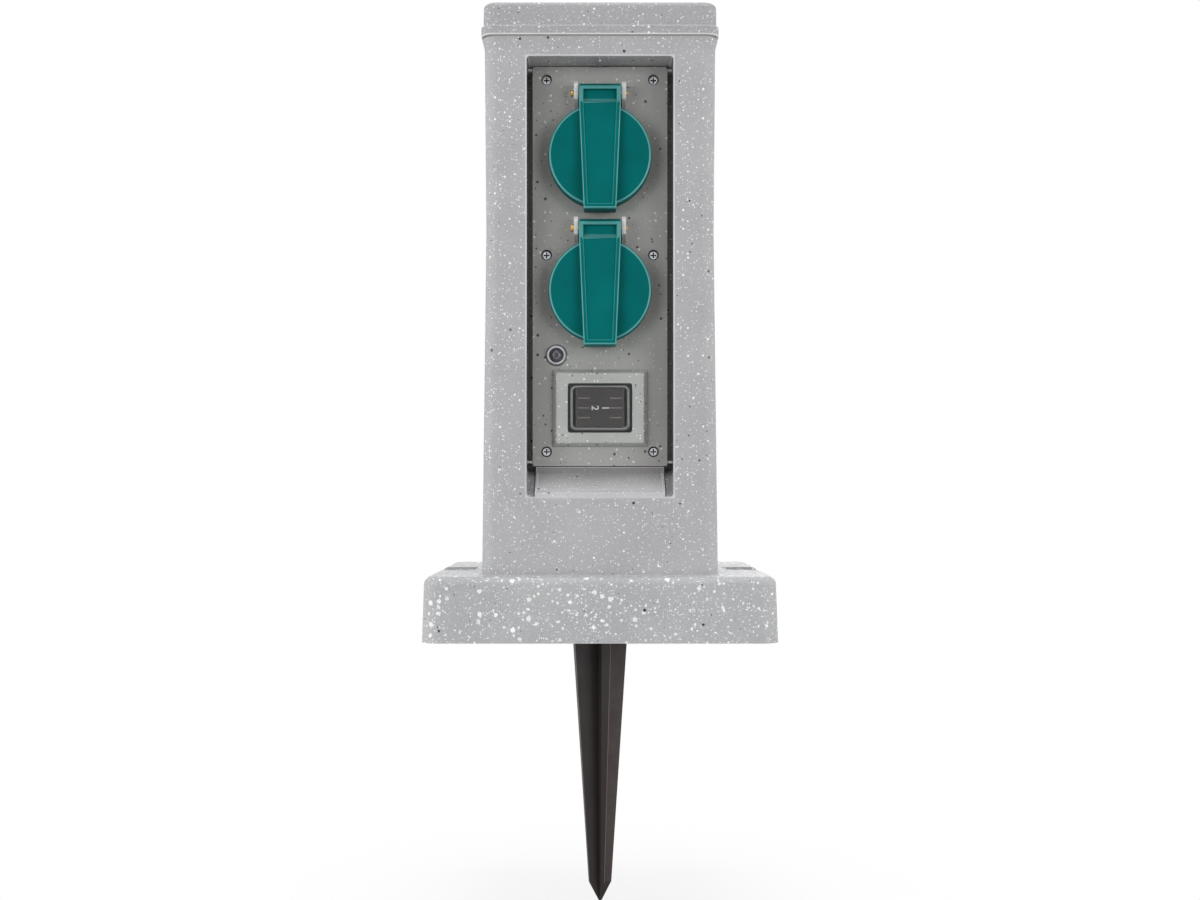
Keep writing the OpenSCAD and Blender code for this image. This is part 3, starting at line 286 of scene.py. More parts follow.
@dataclass(frozen=True)
class Flakes:
    """One layer of flakes or specks that are mixed into a plastic before it is moulded."""

    # Width of the pattern's cells, which hold one flake at most, and the share of them that hold one
    cell_mm: float
    share: float
    # Radius of the largest flakes, their colour and how far their outline strays
    radius_mm: float
    colour: str
    ragged_mm: float
    # Moves the layer, in metres, so that no two layers have their flakes in the same places
    shift: float = 0.0

    # How much of the shift each axis takes
    SHIFT_SHARES: ClassVar[Point] = (1.0, 0.7, 1.3)
    # Lumps of the outline in one radius
    LUMPS: ClassVar[float] = 1.6
    # The noise strays by about a quarter to each side, and this makes a whole of it
    STRAY: ClassVar[float] = 4.0
    # Width over which a flake's edge fades, and how strongly the faintest flakes cover the plastic
    FADE_MM: ClassVar[float] = 0.12
    FAINTEST: ClassVar[float] = 0.65

    def mask(self, surface: Surface) -> Socket:
        """Marks the flakes that lie in the surface.

        Args:
            surface: The surface that takes them.

        Returns:
            Up to 1 in a flake and 0 beside it.
        """
        tree = surface.tree
        shift = tuple(self.shift * share for share in self.SHIFT_SHARES)
        moved = add(tree, "ShaderNodeMapping", {"Vector": surface.place, "Location": shift}).outputs[0]
        lumps = {"Vector": moved, "Scale": self.LUMPS / (self.radius_mm * MM)}
        outline = add(tree, "ShaderNodeTexNoise", lumps).outputs["Color"]
        stray = (self.ragged_mm * MM * self.STRAY,) * 3
        bend = (outline, stray, moved)
        bent = add(tree, "ShaderNodeVectorMath", bend, operation="MULTIPLY_ADD").outputs[0]
        grid = {"Vector": bent, "Scale": 1 / (self.cell_mm * MM)}
        cells = add(tree, "ShaderNodeTexVoronoi", grid).outputs
        draws = add(tree, "ShaderNodeSeparateColor", (cells["Color"],)).outputs
        reach = (draws[0], 1 - self.share, 1, 0, self.radius_mm / self.cell_mm)
        radius = add(tree, "ShaderNodeMapRange", reach).outputs[0]
        inside = add(tree, "ShaderNodeMath", (radius, cells["Distance"]), operation="SUBTRACT").outputs[0]
        edge = (inside, self.cell_mm / self.FADE_MM)
        crisp = add(tree, "ShaderNodeMath", edge, operation="MULTIPLY", use_clamp=True).outputs[0]
        strength = add(tree, "ShaderNodeMapRange", (draws[1], 0, 1, self.FAINTEST, 1)).outputs[0]
        return add(tree, "ShaderNodeMath", (crisp, strength), operation="MULTIPLY").outputs[0]


# Finishes

# Levels of a noise where soft clouds of a plastic begin and where they are full
CLOUD_LEVELS: Span = (0.3, 0.7)
# Width of one band of a Wave texture whose scale is 1, in metres
WAVE = 0.31


@dataclass(frozen=True)
class Finish:
    """What every finish has: its name, its main colour and how matt it is."""

    name: str
    colour: str
    roughness: float

    @cache
    def material(self) -> bpy.types.Material:
        """Gives the finish's material, which is made on first use.

        Returns:
            The material.
        """
        made = bpy.data.materials.new(self.name)
        made.use_nodes = True
        made.diffuse_color = tint(self.colour)
        tree = made.node_tree
        place = add(tree, "ShaderNodeTexCoord").outputs["Object"]
        surface = Surface(tree, tree.nodes["Principled BSDF"], place)
        surface.give({"Base Color": tint(self.colour), "Roughness": self.roughness})
        self.paint(surface)
        return made

    def paint(self, surface: Surface) -> None:
        """Adds what sets this finish apart; each kind of finish has its own."""

    def roughen(self, surface: Surface, mask: Socket, levels: Span, swing: Span) -> None:
        """Makes the surface glossier in some places and more matt in others.

        Args:
            surface: The surface.
            mask: What decides it.
            levels: The mask's levels where the surface is glossiest and most matt.
            swing: How far the roughness departs from the finish's own at these levels.
        """
        gloss, matt = (self.roughness + step for step in swing)
        uneven = add(surface.tree, "ShaderNodeMapRange", (mask, *levels, gloss, matt)).outputs[0]
        surface.give({"Roughness": uneven})


@dataclass(frozen=True)
class StoneLook(Finish):
    """Polypropylene moulded with mineral flakes: a matt grey with white flakes and black specks."""

    shade: str
    layers: tuple[Flakes, ...] = ()
    grain_mm: float = 0.7
    grain_depth_mm: float = 0.04
    cloud_mm: float = 22.0
    salt: float = 0.22
    salt_levels: Span = (0.42, 0.72)
    salt_colour: str = "#D9D9DC"
    relief_share: float = 0.8
    gloss: float = 0.35
    swing: Span = (-0.06, 0.08)

    def paint(self, surface: Surface) -> None:
        """Clouds the grey, adds the finest flakes as salt, each layer of flakes and a moulded grain.

        Args:
            surface: The surface that takes it.
        """
        surface.give({"Specular IOR Level": self.gloss})
        surface.coat(surface.patches(self.cloud_mm, CLOUD_LEVELS), self.shade)
        surface.coat(surface.patches(self.grain_mm, self.salt_levels, self.salt), self.salt_colour)
        for layer in self.layers:
            surface.coat(layer.mask(surface), layer.colour)
        grain = surface.grain(self.grain_mm * self.relief_share, self.grain_depth_mm, detail=3.0)
        self.roughen(surface, grain, CLOUD_LEVELS, self.swing)


@dataclass(frozen=True)
class ShadedSlopeStone(StoneLook):
    """The sill's stone-look plastic with the panel's shadow painted on: darker at the slope's top."""

    slope_mm: Span = (65.5, 73.0)
    fade_mm: float = 0.3
    slope_shadow: float = 0.5
    wall_shadow: float = 0.5
    shadow_colour: str = "#5A5553"

    def paint(self, surface: Surface) -> None:
        """Adds the painted shade, first along the slope and then on the short wall above it.

        Args:
            surface: The surface that takes it.
        """
        super().paint(surface)
        tree = surface.tree
        height = add(tree, "ShaderNodeSeparateXYZ", (surface.place,)).outputs[2]
        foot, top = (edge * MM for edge in self.slope_mm)
        slope = (height, foot, top, 0, self.slope_shadow)
        wall = (height, top, top + self.fade_mm * MM, 0, self.wall_shadow)
        for stretch in (slope, wall):
            surface.coat(add(tree, "ShaderNodeMapRange", stretch).outputs[0], self.shadow_colour)


@dataclass(frozen=True)
class MouldedPlastic(Finish):
    """Injection-moulded plastic of one colour: even, with faint flow clouds and a fine texture."""

    shade: str
    cloud_mm: float = 14.0
    grain_mm: float = 0.35
    grain_depth_mm: float = 0.012
    ior: float = 1.5
    gloss: float = 0.3
    swing: Span = (-0.04, 0.05)

    def paint(self, surface: Surface) -> None:
        """Adds the flow clouds and the mould's texture.

        Args:
            surface: The surface that takes it.
        """
        surface.give({"IOR": self.ior, "Specular IOR Level": self.gloss})
        clouds = surface.patches(self.cloud_mm, CLOUD_LEVELS, detail=4.0)
        surface.coat(clouds, self.shade)
        self.roughen(surface, clouds, (0, 1), self.swing)
        surface.grain(self.grain_mm, self.grain_depth_mm)


@dataclass(frozen=True)
class LensPlastic(MouldedPlastic):
    """Smoked acrylic with a stepped back: its ring shows through the front as a paler circle."""

    # The lens's middle, in metres, and its ring's inner and outer radius
    middle: Point = (-0.0198, 0.0, 0.127)
    ring_mm: Span = (1.15, 1.75)
    fade_mm: float = 0.1
    ring_colour: str = "#77747C"

    def paint(self, surface: Surface) -> None:
        """Adds the ring to the plastic's colour.

        Args:
            surface: The surface that takes it.
        """
        super().paint(surface)
        tree = surface.tree
        ends = (surface.place, self.middle)
        off = add(tree, "ShaderNodeVectorMath", ends, operation="SUBTRACT").outputs[0]
        flat = add(tree, "ShaderNodeVectorMath", (off, (1.0, 0.0, 1.0)), operation="MULTIPLY").outputs[0]
        reach = add(tree, "ShaderNodeVectorMath", (flat,), operation="LENGTH").outputs["Value"]
        low, high = (edge * MM for edge in self.ring_mm)
        fade = self.fade_mm * MM
        outer = add(tree, "ShaderNodeMapRange", (reach, high - fade, high + fade, 1, 0)).outputs[0]
        inner = add(tree, "ShaderNodeMapRange", (reach, low - fade, low + fade, 0, 1)).outputs[0]
        ring = add(tree, "ShaderNodeMath", (outer, inner), operation="MULTIPLY").outputs[0]
        surface.coat(ring, self.ring_colour)


@dataclass(frozen=True)
class Plated(Finish):
    """Plated or drawn metal: bright, slightly clouded by handling, with fine marks of its making."""

    shade: str
    cloud_mm: float = 1.8
    cloud_levels: Span = (0.35, 0.65)
    mark_mm: float = 0.25
    mark_depth_mm: float = 0.006
    swing: Span = (0.0, 0.12)

    def paint(self, surface: Surface) -> None:
        """Makes it metal, clouds it and adds the fine marks.

        Args:
            surface: The surface that takes it.
        """
        surface.give({"Metallic": 1.0})
        clouds = surface.patches(self.cloud_mm, self.cloud_levels, detail=4.0)
        surface.coat(clouds, self.shade)
        self.roughen(surface, clouds, (0, 1), self.swing)
        surface.grain(self.mark_mm, self.mark_depth_mm)


@dataclass(frozen=True)
class ClearPlastic(Finish):
    """Clear flexible PVC: what lies under it shows, and its turned edges catch the light."""

    front_haze: float = 0.02
    edge_haze: float = 0.6
    # How far the wall is turned away where its haze begins and where it is full, 1 for edge-on
    turned: Span = (0.25, 0.95)
    ripple_mm: float = 6.0
    ripple_depth_mm: float = 0.02
    let_through: Colour = (0.94, 0.95, 0.95, 1.0)

    def paint(self, surface: Surface) -> None:
        """Lets most of the light straight through, less of it where the wall is seen along its length.

        Args:
            surface: The surface that takes it.
        """
        tree = surface.tree
        surface.grain(self.ripple_mm, self.ripple_depth_mm)
        turn = add(tree, "ShaderNodeLayerWeight").outputs["Facing"]
        haze = (turn, *self.turned, self.front_haze, self.edge_haze)
        solid = add(tree, "ShaderNodeMapRange", haze).outputs[0]
        clear = add(tree, "ShaderNodeBsdfTransparent", {"Color": self.let_through}).outputs[0]
        surface.show(add(tree, "ShaderNodeMixShader", (solid, clear, surface.shader.outputs[0])).outputs[0])


@dataclass(frozen=True)
class Elastomer(Finish):
    """Moulded rubber: matt, with a faint bloom on it in patches and a soft sheen at a flat angle."""

    bloom: str = "#3A3A3A"
    bloom_mm: float = 5.0
    bloom_levels: Span = (0.35, 0.75)
    bloom_share: float = 0.6
    sheen: float = 0.15
    sheen_roughness: float = 0.5
    grain_mm: float = 0.3
    grain_depth_mm: float = 0.02

    def paint(self, surface: Surface) -> None:
        """Adds the sheen, the bloom and a fine grain.

        Args:
            surface: The surface that takes it.
        """
        surface.give({"Sheen Weight": self.sheen, "Sheen Roughness": self.sheen_roughness})
        bloom = surface.patches(self.bloom_mm, self.bloom_levels, self.bloom_share, detail=4.0)
        surface.coat(bloom, self.bloom)
        surface.grain(self.grain_mm, self.grain_depth_mm)


@dataclass(frozen=True)
class BoardLaminate(Finish):
    """Glass-epoxy laminate under green solder mask: the copper tracks show through as a lighter green."""

    track_mm: float = 2.6
    # Distances from a cell's middle, in cells, where a track begins and where a pad ends
    track_edge: Span = (0.36, 0.42)
    pad_edge: Span = (0.12, 0.15)
    track_colour: str = "#2E7A4A"
    pad_colour: str = "#B9B7AE"
    track_depth_mm: float = 0.03

    def paint(self, surface: Surface) -> None:
        """Draws tracks as the borders of square cells and pads as dots.

        Args:
            surface: The surface that takes it.
        """
        tree = surface.tree
        grid = {"Vector": surface.place, "Scale": 1 / (self.track_mm * MM)}
        middle = add(tree, "ShaderNodeTexVoronoi", grid, distance="CHEBYCHEV").outputs["Distance"]
        track = add(tree, "ShaderNodeMapRange", (middle, *self.track_edge, 0, 1)).outputs[0]
        surface.coat(track, self.track_colour)
        pad = add(tree, "ShaderNodeMapRange", (middle, *self.pad_edge, 1, 0)).outputs[0]
        surface.coat(pad, self.pad_colour)
        surface.emboss(track, self.track_depth_mm)


@dataclass(frozen=True)
class WireSkin(Finish):
    """Extruded PVC insulation: smooth and slightly waxy; an earth wire has a second colour in stripes."""

    stripe: str = ""
    stripe_mm: float = 2.4
    stripe_edge: Span = (0.48, 0.56)
    grain_mm: float = 0.4
    grain_depth_mm: float = 0.01

    def paint(self, surface: Surface) -> None:
        """Adds the stripes where there are any and a fine drawn grain.

        Args:
            surface: The surface that takes it.
        """
        if self.stripe:
            tree = surface.tree
            bands = {"Vector": surface.place, "Scale": WAVE / (self.stripe_mm * MM)}
            wave = add(tree, "ShaderNodeTexWave", bands, bands_direction="DIAGONAL").outputs["Fac"]
            edge = add(tree, "ShaderNodeMapRange", (wave, *self.stripe_edge, 0, 1)).outputs[0]
            surface.coat(edge, self.stripe)
        surface.grain(self.grain_mm, self.grain_depth_mm)


@dataclass(frozen=True)
class CellCeramic(Finish):
    """Cadmium-sulphide cell on ceramic: a pale disc with a dark winding track."""

    track_mm: float = 0.9
    track_edge: Span = (0.45, 0.55)
    track_colour: str = "#8A3B22"
    track_depth_mm: float = 0.02

    def paint(self, surface: Surface) -> None:
        """Draws the winding track as sharp bands.

        Args:
            surface: The surface that takes it.
        """
        tree = surface.tree
        bands = {"Vector": surface.place, "Scale": WAVE / (self.track_mm * MM)}
        wave = add(tree, "ShaderNodeTexWave", bands, bands_direction="Z").outputs["Fac"]
        track = add(tree, "ShaderNodeMapRange", (wave, *self.track_edge, 0, 1)).outputs[0]
        surface.coat(track, self.track_colour)
        surface.emboss(track, self.track_depth_mm)


@dataclass(frozen=True)
class PrintedMark(Finish):
    """Pad-printed ink: a thin opaque white that lets a little of the plastic's texture through."""

    spot_mm: float = 0.3
    spot_levels: Span = (0.55, 0.75)
    spot_share: float = 0.45
    spot_colour: str = "#6E6B6B"
    spot_depth_mm: float = 0.01

    def paint(self, surface: Surface) -> None:
        """Thins the ink in small spots.

        Args:
            surface: The surface that takes it.
        """
        thin = surface.patches(self.spot_mm, self.spot_levels, self.spot_share)
        surface.coat(thin, self.spot_colour)
        surface.emboss(thin, self.spot_depth_mm)


def seen_directly(tree: Tree) -> Socket:
    """Makes a mask of the rays that show the background: from the eye, in gloss and through glass.

    Args:
        tree: The node tree that takes the mask.

    Returns:
        1 for such rays and 0 for those that light the object.
    """
    rays = add(tree, "ShaderNodeLightPath").outputs
    plain = (rays["Is Camera Ray"], rays["Is Glossy Ray"])
    gloss = add(tree, "ShaderNodeMath", plain, operation="MAXIMUM").outputs[0]
    return add(tree, "ShaderNodeMath", (gloss, rays["Is Transmission Ray"]), operation="MAXIMUM").outputs[0]


@dataclass(frozen=True)
class StudioPaper(Finish):
    """Matt paper under the object: it shows the object's shadow and turns white farther out."""

    seen_colour: str = "#F6F6F6"
    # Distances from the middle, in metres, where it starts to turn white and where it is white
    fade: Span = (0.03, 0.22)
    white_share: float = 0.82

    def paint(self, surface: Surface) -> None:
        """Makes the paper pale to the eye, darker to the light that it throws back, and white farther out.

        Args:
            surface: The surface that takes it.
        """
        tree = surface.tree
        seen = seen_directly(tree)
        surface.give({"Specular IOR Level": 0.0})
        surface.coat(seen, self.seen_colour)
        level = (surface.place, (1.0, 1.0, 0.0))
        flat = add(tree, "ShaderNodeVectorMath", level, operation="MULTIPLY").outputs[0]
        reach = add(tree, "ShaderNodeVectorMath", (flat,), operation="LENGTH").outputs["Value"]
        far = add(tree, "ShaderNodeMapRange", (reach, *self.fade, self.white_share, 1)).outputs[0]
        share = add(tree, "ShaderNodeMath", (far, seen), operation="MULTIPLY").outputs[0]
        white = add(tree, "ShaderNodeEmission", {"Color": WHITE, "Strength": 1.0}).outputs[0]
        surface.show(add(tree, "ShaderNodeMixShader", (share, surface.shader.outputs[0], white)).outputs[0])


# Width of the cells, share with a flake, radius, colour, ragged outline and shift
FINE_WHITE = Flakes(1.0, 0.85, 0.40, "#F4F4F6", 0.04)
SMALL_WHITE = Flakes(2.2, 0.5, 0.62, "#FFFFFF", 0.08, 0.031)
BLACK_SPECK = Flakes(4.2, 0.40, 0.80, "#1A1818", 0.10, 0.073)
FINE_BLACK = Flakes(2.2, 0.22, 0.45, "#3C3A3A", 0.06, 0.113)
SALT_FLAKE = Flakes(0.9, 0.85, 0.40, "#F4F4F6", 0.08, 0.059)
MID_FLAKE = Flakes(2.1, 0.85, 0.74, "#FAFAFB", 0.20, 0.047)
BIG_FLAKE = Flakes(3.5, 0.70, 1.20, "#FFFFFF", 0.45, 0.019)
COLUMN_MIX = (FINE_WHITE, SMALL_WHITE, FINE_BLACK, BLACK_SPECK)
FOOT_MIX = (SALT_FLAKE, MID_FLAKE, BIG_FLAKE, FINE_BLACK, BLACK_SPECK)
PANEL_MIX = (
    Flakes(1.6, 0.75, 0.45, "#CDCFCD", 0.06, 0.033),
    Flakes(2.5, 0.6, 0.66, "#E6E8E6", 0.10, 0.017),
    Flakes(2.2, 0.7, 0.45, "#4A4845", 0.06, 0.121),
    Flakes(3.5, 0.75, 0.8, "#1C1A1A", 0.12, 0.091),
)
FRAME_MIX = (Flakes(1.6, 0.8, 0.55, "#F8FAF8", 0.08, 0.023), Flakes(2.2, 0.7, 0.6, "#1C1A1A", 0.10, 0.067))

# Column: polypropylene with fine mineral flake, matt from its textured mould
COLUMN_STONE = StoneLook("column_stone", "#AFAFB1", 0.55, "#A6A6A9", COLUMN_MIX)
# Cap: the same plastic, painted a little darker than the column as shade, for less light falls on it
CAP_SHADED = StoneLook("cap_shaded", "#A4A4A6", 0.55, "#9C9C9F", COLUMN_MIX)
# Edges of the sill, the niche and the cap's step: the same plastic bare of flakes, painted pale as a
# highlight
STONE_HIGHLIGHT = StoneLook("sill_edge", "#CFCFD1", 0.5, "#C6C6C9")
# Sill: the same plastic, painted paler for the light on its slope and darker at its top for the panel's
# shadow
APRON_SHADED = ShadedSlopeStone("apron_shaded", "#C7C7C9", 0.5, "#BFBFC2", COLUMN_MIX)
# Niche's walls beside the panel: the same plastic, painted dark brown as the shade that fills the gap
GAP_SHADE = StoneLook("gap_shade", "#7A6C66", 0.6, "#6E605A", (FINE_BLACK,), salt=0.05)
# Cap's lower rim: the same plastic, painted pale as a highlight along the rim
CAP_RIM_LIGHT = StoneLook("cap_rim_light", "#E2E2E3", 0.5, "#DADADC")
# Foot: the same plastic with coarse flake, up to 2.4 mm across
FOOT_STONE = StoneLook(
    "foot_stone", "#AFB0B1", 0.55, "#A4A5A7", FOOT_MIX, grain_mm=0.55, grain_depth_mm=0.05, salt=0.4
)
# Panel: moulded ABS with few specks, smoother and darker than the column
PANEL_GREY = StoneLook(
    "panel_grey", "#A5A6A3", 0.42, "#9D9E9B", PANEL_MIX,
    grain_mm=0.6, grain_depth_mm=0.015, cloud_mm=30.0, salt=0.06,
)
# Hinge ears: the same ABS, thin and painted pale as a highlight
EAR_HIGHLIGHT = StoneLook("ear_highlight", "#E2E3E1", 0.4, "#DADBD9")
# Switch frame: the same ABS in a lighter grey
FRAME_GREY = replace(
    PANEL_GREY, name="frame_grey", colour="#B8BBB8", shade="#B0B3B0", layers=FRAME_MIX, cloud_mm=20.0
)
# Flaps: moulded teal polypropylene, satin
FLAP_TEAL = MouldedPlastic("flap_teal", "#006E6D", 0.45, "#006665", gloss=0.05)
# Flap edges: the same plastic, painted paler as a highlight along the rounded edges
FLAP_HIGHLIGHT = MouldedPlastic("flap_highlight", "#5FA9A8", 0.36, "#569F9E")
# Edges of the strap's sunk field: the same plastic with a fainter painted highlight, as they lie inside
FIELD_HIGHLIGHT = MouldedPlastic("field_highlight", "#2F8887", 0.4, "#2A8180", gloss=0.1)
# Frame round the flap's window: the same plastic, painted paler as a highlight
LIP_HIGHLIGHT = MouldedPlastic("lip_highlight", "#529A99", 0.36, "#489291", gloss=0.2)
# Spike: moulded glass-filled nylon, black-brown with a dull shine
SPIKE_NYLON = MouldedPlastic(
    "spike_nylon", "#1F1816", 0.44, "#191311", cloud_mm=9.0, grain_mm=0.5, grain_depth_mm=0.02, ior=1.53
)
# Spike's vane beside the front one: the same nylon, a little more matt, painted lighter for the light on it
SPIKE_LIT_VANE = replace(SPIKE_NYLON, name="spike_lit_vane", colour="#463C3B", roughness=0.5, shade="#3D3433")
# Spike's front edge: the same nylon, painted bright as a highlight
SPIKE_HIGHLIGHT = replace(
    SPIKE_NYLON, name="spike_highlight", colour="#6A6260", roughness=0.36, shade="#5F5856",
    grain_depth_mm=0.01, gloss=0.4,
)
# Rocker: moulded black polycarbonate, satin
ROCKER_BLACK = MouldedPlastic(
    "rocker_black", "#3E3837", 0.42, "#363130", cloud_mm=9.0, grain_mm=0.3, grain_depth_mm=0.01, ior=1.58
)
# Rocker's ribs and rims: the same plastic in a paler grey, a painted highlight along the rounded rims
ROCKER_PALE = replace(
    ROCKER_BLACK, name="rocker_pale", colour="#857B79", roughness=0.36, shade="#776E6C"
)
# Socket cups: moulded polyamide, dark grey and dull
CUP_POLYAMIDE = MouldedPlastic("cup_polyamide", "#2B2B2B", 0.48, "#242424")
# Switch body and gland: moulded polyamide, black and dull
CASE_BLACK = MouldedPlastic("case_black", "#1F1F1F", 0.5, "#191919")
# Wiring box: moulded ABS, plain grey
BOX_GREY = MouldedPlastic("box_grey", "#8B8E8F", 0.5, "#838687", cloud_mm=24.0)
# Terminal block: moulded polyamide in its natural cream
BLOCK_CREAM = MouldedPlastic("block_cream", "#D8D5C8", 0.45, "#D0CCBE")
# Relay: moulded polyester, blue and slightly shiny
RELAY_BLUE = MouldedPlastic("relay_blue", "#2C5E9E", 0.4, "#285690")
# Switch cover: moulded clear PVC, almost unseen from the front
CLEAR_COVER = ClearPlastic("clear_pvc", "#DDE0E0", 0.12)
# Turned edges of the cover: hazier, a painted highlight along them
COVER_HIGHLIGHT = ClearPlastic("clear_pvc_highlight", "#DCDFDF", 0.12, 0.30, 0.8)
# Sensor lens: smoked acrylic, nearly black from outside
SMOKED_LENS = LensPlastic(
    "smoked_lens", "#55525A", 0.16, "#4C4951", cloud_mm=4.0, grain_mm=0.6, grain_depth_mm=0.002, ior=1.49
)
# Seals of the flaps, the box and the gland: black moulded rubber
SEAL_RUBBER = Elastomer("seal_rubber", "#1D1D1D", 0.72)
# Cap's gasket: grey moulded rubber, chosen to match the post
GASKET_GREY = Elastomer("gasket_grey", "#A39E9B", 0.7, "#B0ABA8")
# Bolt, screws, washer and nuts: steel, bright zinc plated
ZINC_STEEL = Plated("bright_zinc", "#D2D4D7", 0.46, "#ADB0B4")
# Cross slots of the screws: the same zinc, painted dark and dull as the shade inside them
SLOT_SHADE = Plated("slot_shade", "#3F4144", 0.5, "#2B2D2F")
# Springs and earth clips: drawn spring steel, grey and shiny
SPRING_STEEL = Plated("drawn_spring_steel", "#A8ABAF", 0.22, "#8E9196")
# Sensor's ring: chrome plated, bright and a little dulled outdoors
BRIGHT_RING = Plated("bright_ring", "#ABACAF", 0.34, "#8F9194")
# Hinge pins, contacts and terminals: turned brass, warm and shiny
BRASS = Plated("turned_brass", "#D9AE5E", 0.28, "#B98B3F")
# Control board: glass-epoxy laminate under solder mask, glossy green
GREEN_BOARD = BoardLaminate("green_board", "#14532F", 0.35)
# Photocell: fired ceramic, pale under its dark track
CELL = CellCeramic("photocell_ceramic", "#E6D9C0", 0.5)
# Wires: extruded PVC in the colours of live, neutral and earth
BROWN_WIRE = WireSkin("brown_wire", "#5A3420", 0.42)
BLUE_WIRE = WireSkin("blue_wire", "#2557A8", 0.42)
EARTH_WIRE = WireSkin("earth_wire", "#2E8B3D", 0.42, "#E3D22E")
# Numerals: pad-printed ink, white and a little thin
WHITE_INK = PrintedMark("white_ink", "#E2E4E8", 0.5)
# Floor: matt paper, plain and pale
STUDIO_PAPER = StudioPaper("studio_paper", "#A8A8A8", 0.9)


# Working with pieces


def single_out(piece: Object) -> None:
    """Deselects everything and makes one piece the active, selected one.

    Args:
        piece: The piece that the next operator works on.
    """
    bpy.ops.object.select_all(action="DESELECT")
    piece.select_set(True)
    bpy.context.view_layer.objects.active = piece


def settle(piece: Object) -> None:
    """Puts a piece's place, turn and size into its mesh.

    Args:
        piece: A mesh object.
    """
    single_out(piece)
    bpy.ops.object.transform_apply(location=True, rotation=True, scale=True)


def dress_nodes(finishes: dict[str, Finish]) -> None:
    """Gives CAD nodes their finish.

    Args:
        finishes: Node name and its finish.
    """
    for name, finish in finishes.items():
        node = frame["nodes"][name]
        if not node.material_slots:
            node.data.materials.append(None)
        for slot in node.material_slots:
            slot.material = finish.material()
        log.info("%s wears %s", name, finish.name)


@dataclass(frozen=True)
class Zone:
    """A box of the shared frame, in millimetres, that says which edges or faces of a piece are meant."""

    x: Span = (-FAR, FAR)
    y: Span = (-FAR, FAR)
    z: Span = (-FAR, FAR)

    def holds(self, point: Vector) -> bool:
        """Tells whether a point lies in the box.

        Args:
            point: A place in metres.

        Returns:
            True if it does.
        """
        return all(low <= value / MM <= high for value, (low, high) in zip(point, (self.x, self.y, self.z)))


EVERYWHERE = Zone()


def mark_edges(piece: Object, angle: float, zone: Zone) -> None:
    """Marks the outer edges that get a rounding.

    Args:
        piece: The mesh object.
        angle: The angle in degrees from which an edge is rounded.
        zone: Where the edges lie that are rounded.
    """
    mesh = bmesh.new()
    mesh.from_mesh(piece.data)
    layer = mesh.edges.layers.float.new("bevel_weight_edge")
    for edge in mesh.edges:
        if len(edge.link_faces) != 2 or not edge.is_convex or edge.calc_face_angle() < radians(angle):
            continue
        if all(zone.holds(corner.co) for corner in edge.verts):
            edge[layer] = 1.0
    mesh.to_mesh(piece.data)
    mesh.free()


def copied(name: str, finish: Finish, angle: float = SHARP_ANGLE) -> Object:
    """Copies a CAD node and lets the copy stand for it, so that the node itself stays as it is.

    Args:
        name: The node that is copied.
        finish: The copy's finish.
        angle: The angle in degrees from which an edge is shown sharp.

    Returns:
        The copy.
    """
    node = frame["nodes"][name]
    piece = bpy.data.objects.new(name + "_soft", node.data.copy())
    bpy.context.scene.collection.objects.link(piece)
    piece.data.materials.clear()
    piece.data.materials.append(finish.material())
    single_out(piece)
    bpy.ops.mesh.customdata_custom_splitnormals_clear()
    bpy.ops.object.mode_set(mode="EDIT")
    bpy.ops.mesh.select_all(action="SELECT")
    bpy.ops.mesh.remove_doubles(threshold=WELD_GAP)
    bpy.ops.mesh.dissolve_limited(angle_limit=radians(FLAT_ANGLE))
    bpy.ops.object.mode_set(mode="OBJECT")
    bpy.ops.object.shade_smooth_by_angle(angle=radians(angle))
    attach(piece, node["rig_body"])
    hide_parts(name)
    log.info("%s stands for %s, %d faces", piece.name, name, len(piece.data.polygons))
    return piece


def softened(
    name: str,
    width_mm: float,
    finish: Finish,
    edge: Finish | None = None,
    angle: float = SHARP_ANGLE,
    zone: Zone = EVERYWHERE,
    clamp: bool = True,
) -> Object:
    """Copies a CAD node and rounds its edges as a mould does.

    Args:
        name: The node that is copied.
        width_mm: The width of the rounding.
        finish: The copy's finish.
        edge: The finish of the rounded edges, if it is another one.
        angle: The angle in degrees from which an edge is rounded.
        zone: Where the edges lie that are rounded.
        clamp: Whether the rounding narrows where edges lie close together.

    Returns:
        The copy.
    """
    piece = copied(name, finish, angle)
    if edge is not None:
        piece.data.materials.append(edge.material())
    mark_edges(piece, angle, zone)
    rounding = piece.modifiers.new("rounding", "BEVEL")
    rounding.width = width_mm * MM
    rounding.segments = ROUNDING_STEPS
    rounding.limit_method = "WEIGHT"
    rounding.use_clamp_overlap = clamp
    rounding.material = 1 if edge is not None else 0
    bpy.ops.object.modifier_apply(modifier=rounding.name)
    bpy.ops.object.shade_smooth_by_angle(angle=radians(angle))
    return piece


def cut(piece: Object, axis: Axis, place_mm: float) -> None:
    """Cuts a piece's faces along a plane, so that the parts on both sides can have their own finish.

    Args:
        piece: The mesh object.
        axis: The plane's normal.
        place_mm: Where the plane lies on that axis.
    """
    normal = [0.0, 0.0, 0.0]
    normal[axis] = 1.0
    single_out(piece)
    bpy.ops.object.mode_set(mode="EDIT")
    bpy.ops.mesh.select_all(action="SELECT")
    bpy.ops.mesh.bisect(plane_co=[place_mm * MM * share for share in normal], plane_no=normal)
    bpy.ops.object.mode_set(mode="OBJECT")


def repaint(
    piece: Object,
    finish: Finish,
    zone: Zone,
    facing: Point | None = None,
    least: float = ROUGHLY,
) -> None:
    """Gives some of a piece's faces another finish.

    Args:
        piece: The mesh object.
        finish: Their finish.
        zone: Where the middles of the faces lie.
        facing: The way they face, or any way if it is None.
        least: How closely they face that way, 1 for exactly.
    """
    wanted = finish.material()
    if piece.data.materials.find(wanted.name) < 0:
        piece.data.materials.append(wanted)
    index = piece.data.materials.find(wanted.name)
    way = Vector(facing).normalized() if facing else None
    for face in piece.data.polygons:
        if zone.holds(face.center) and (way is None or face.normal.dot(way) >= least):
            face.material_index = index


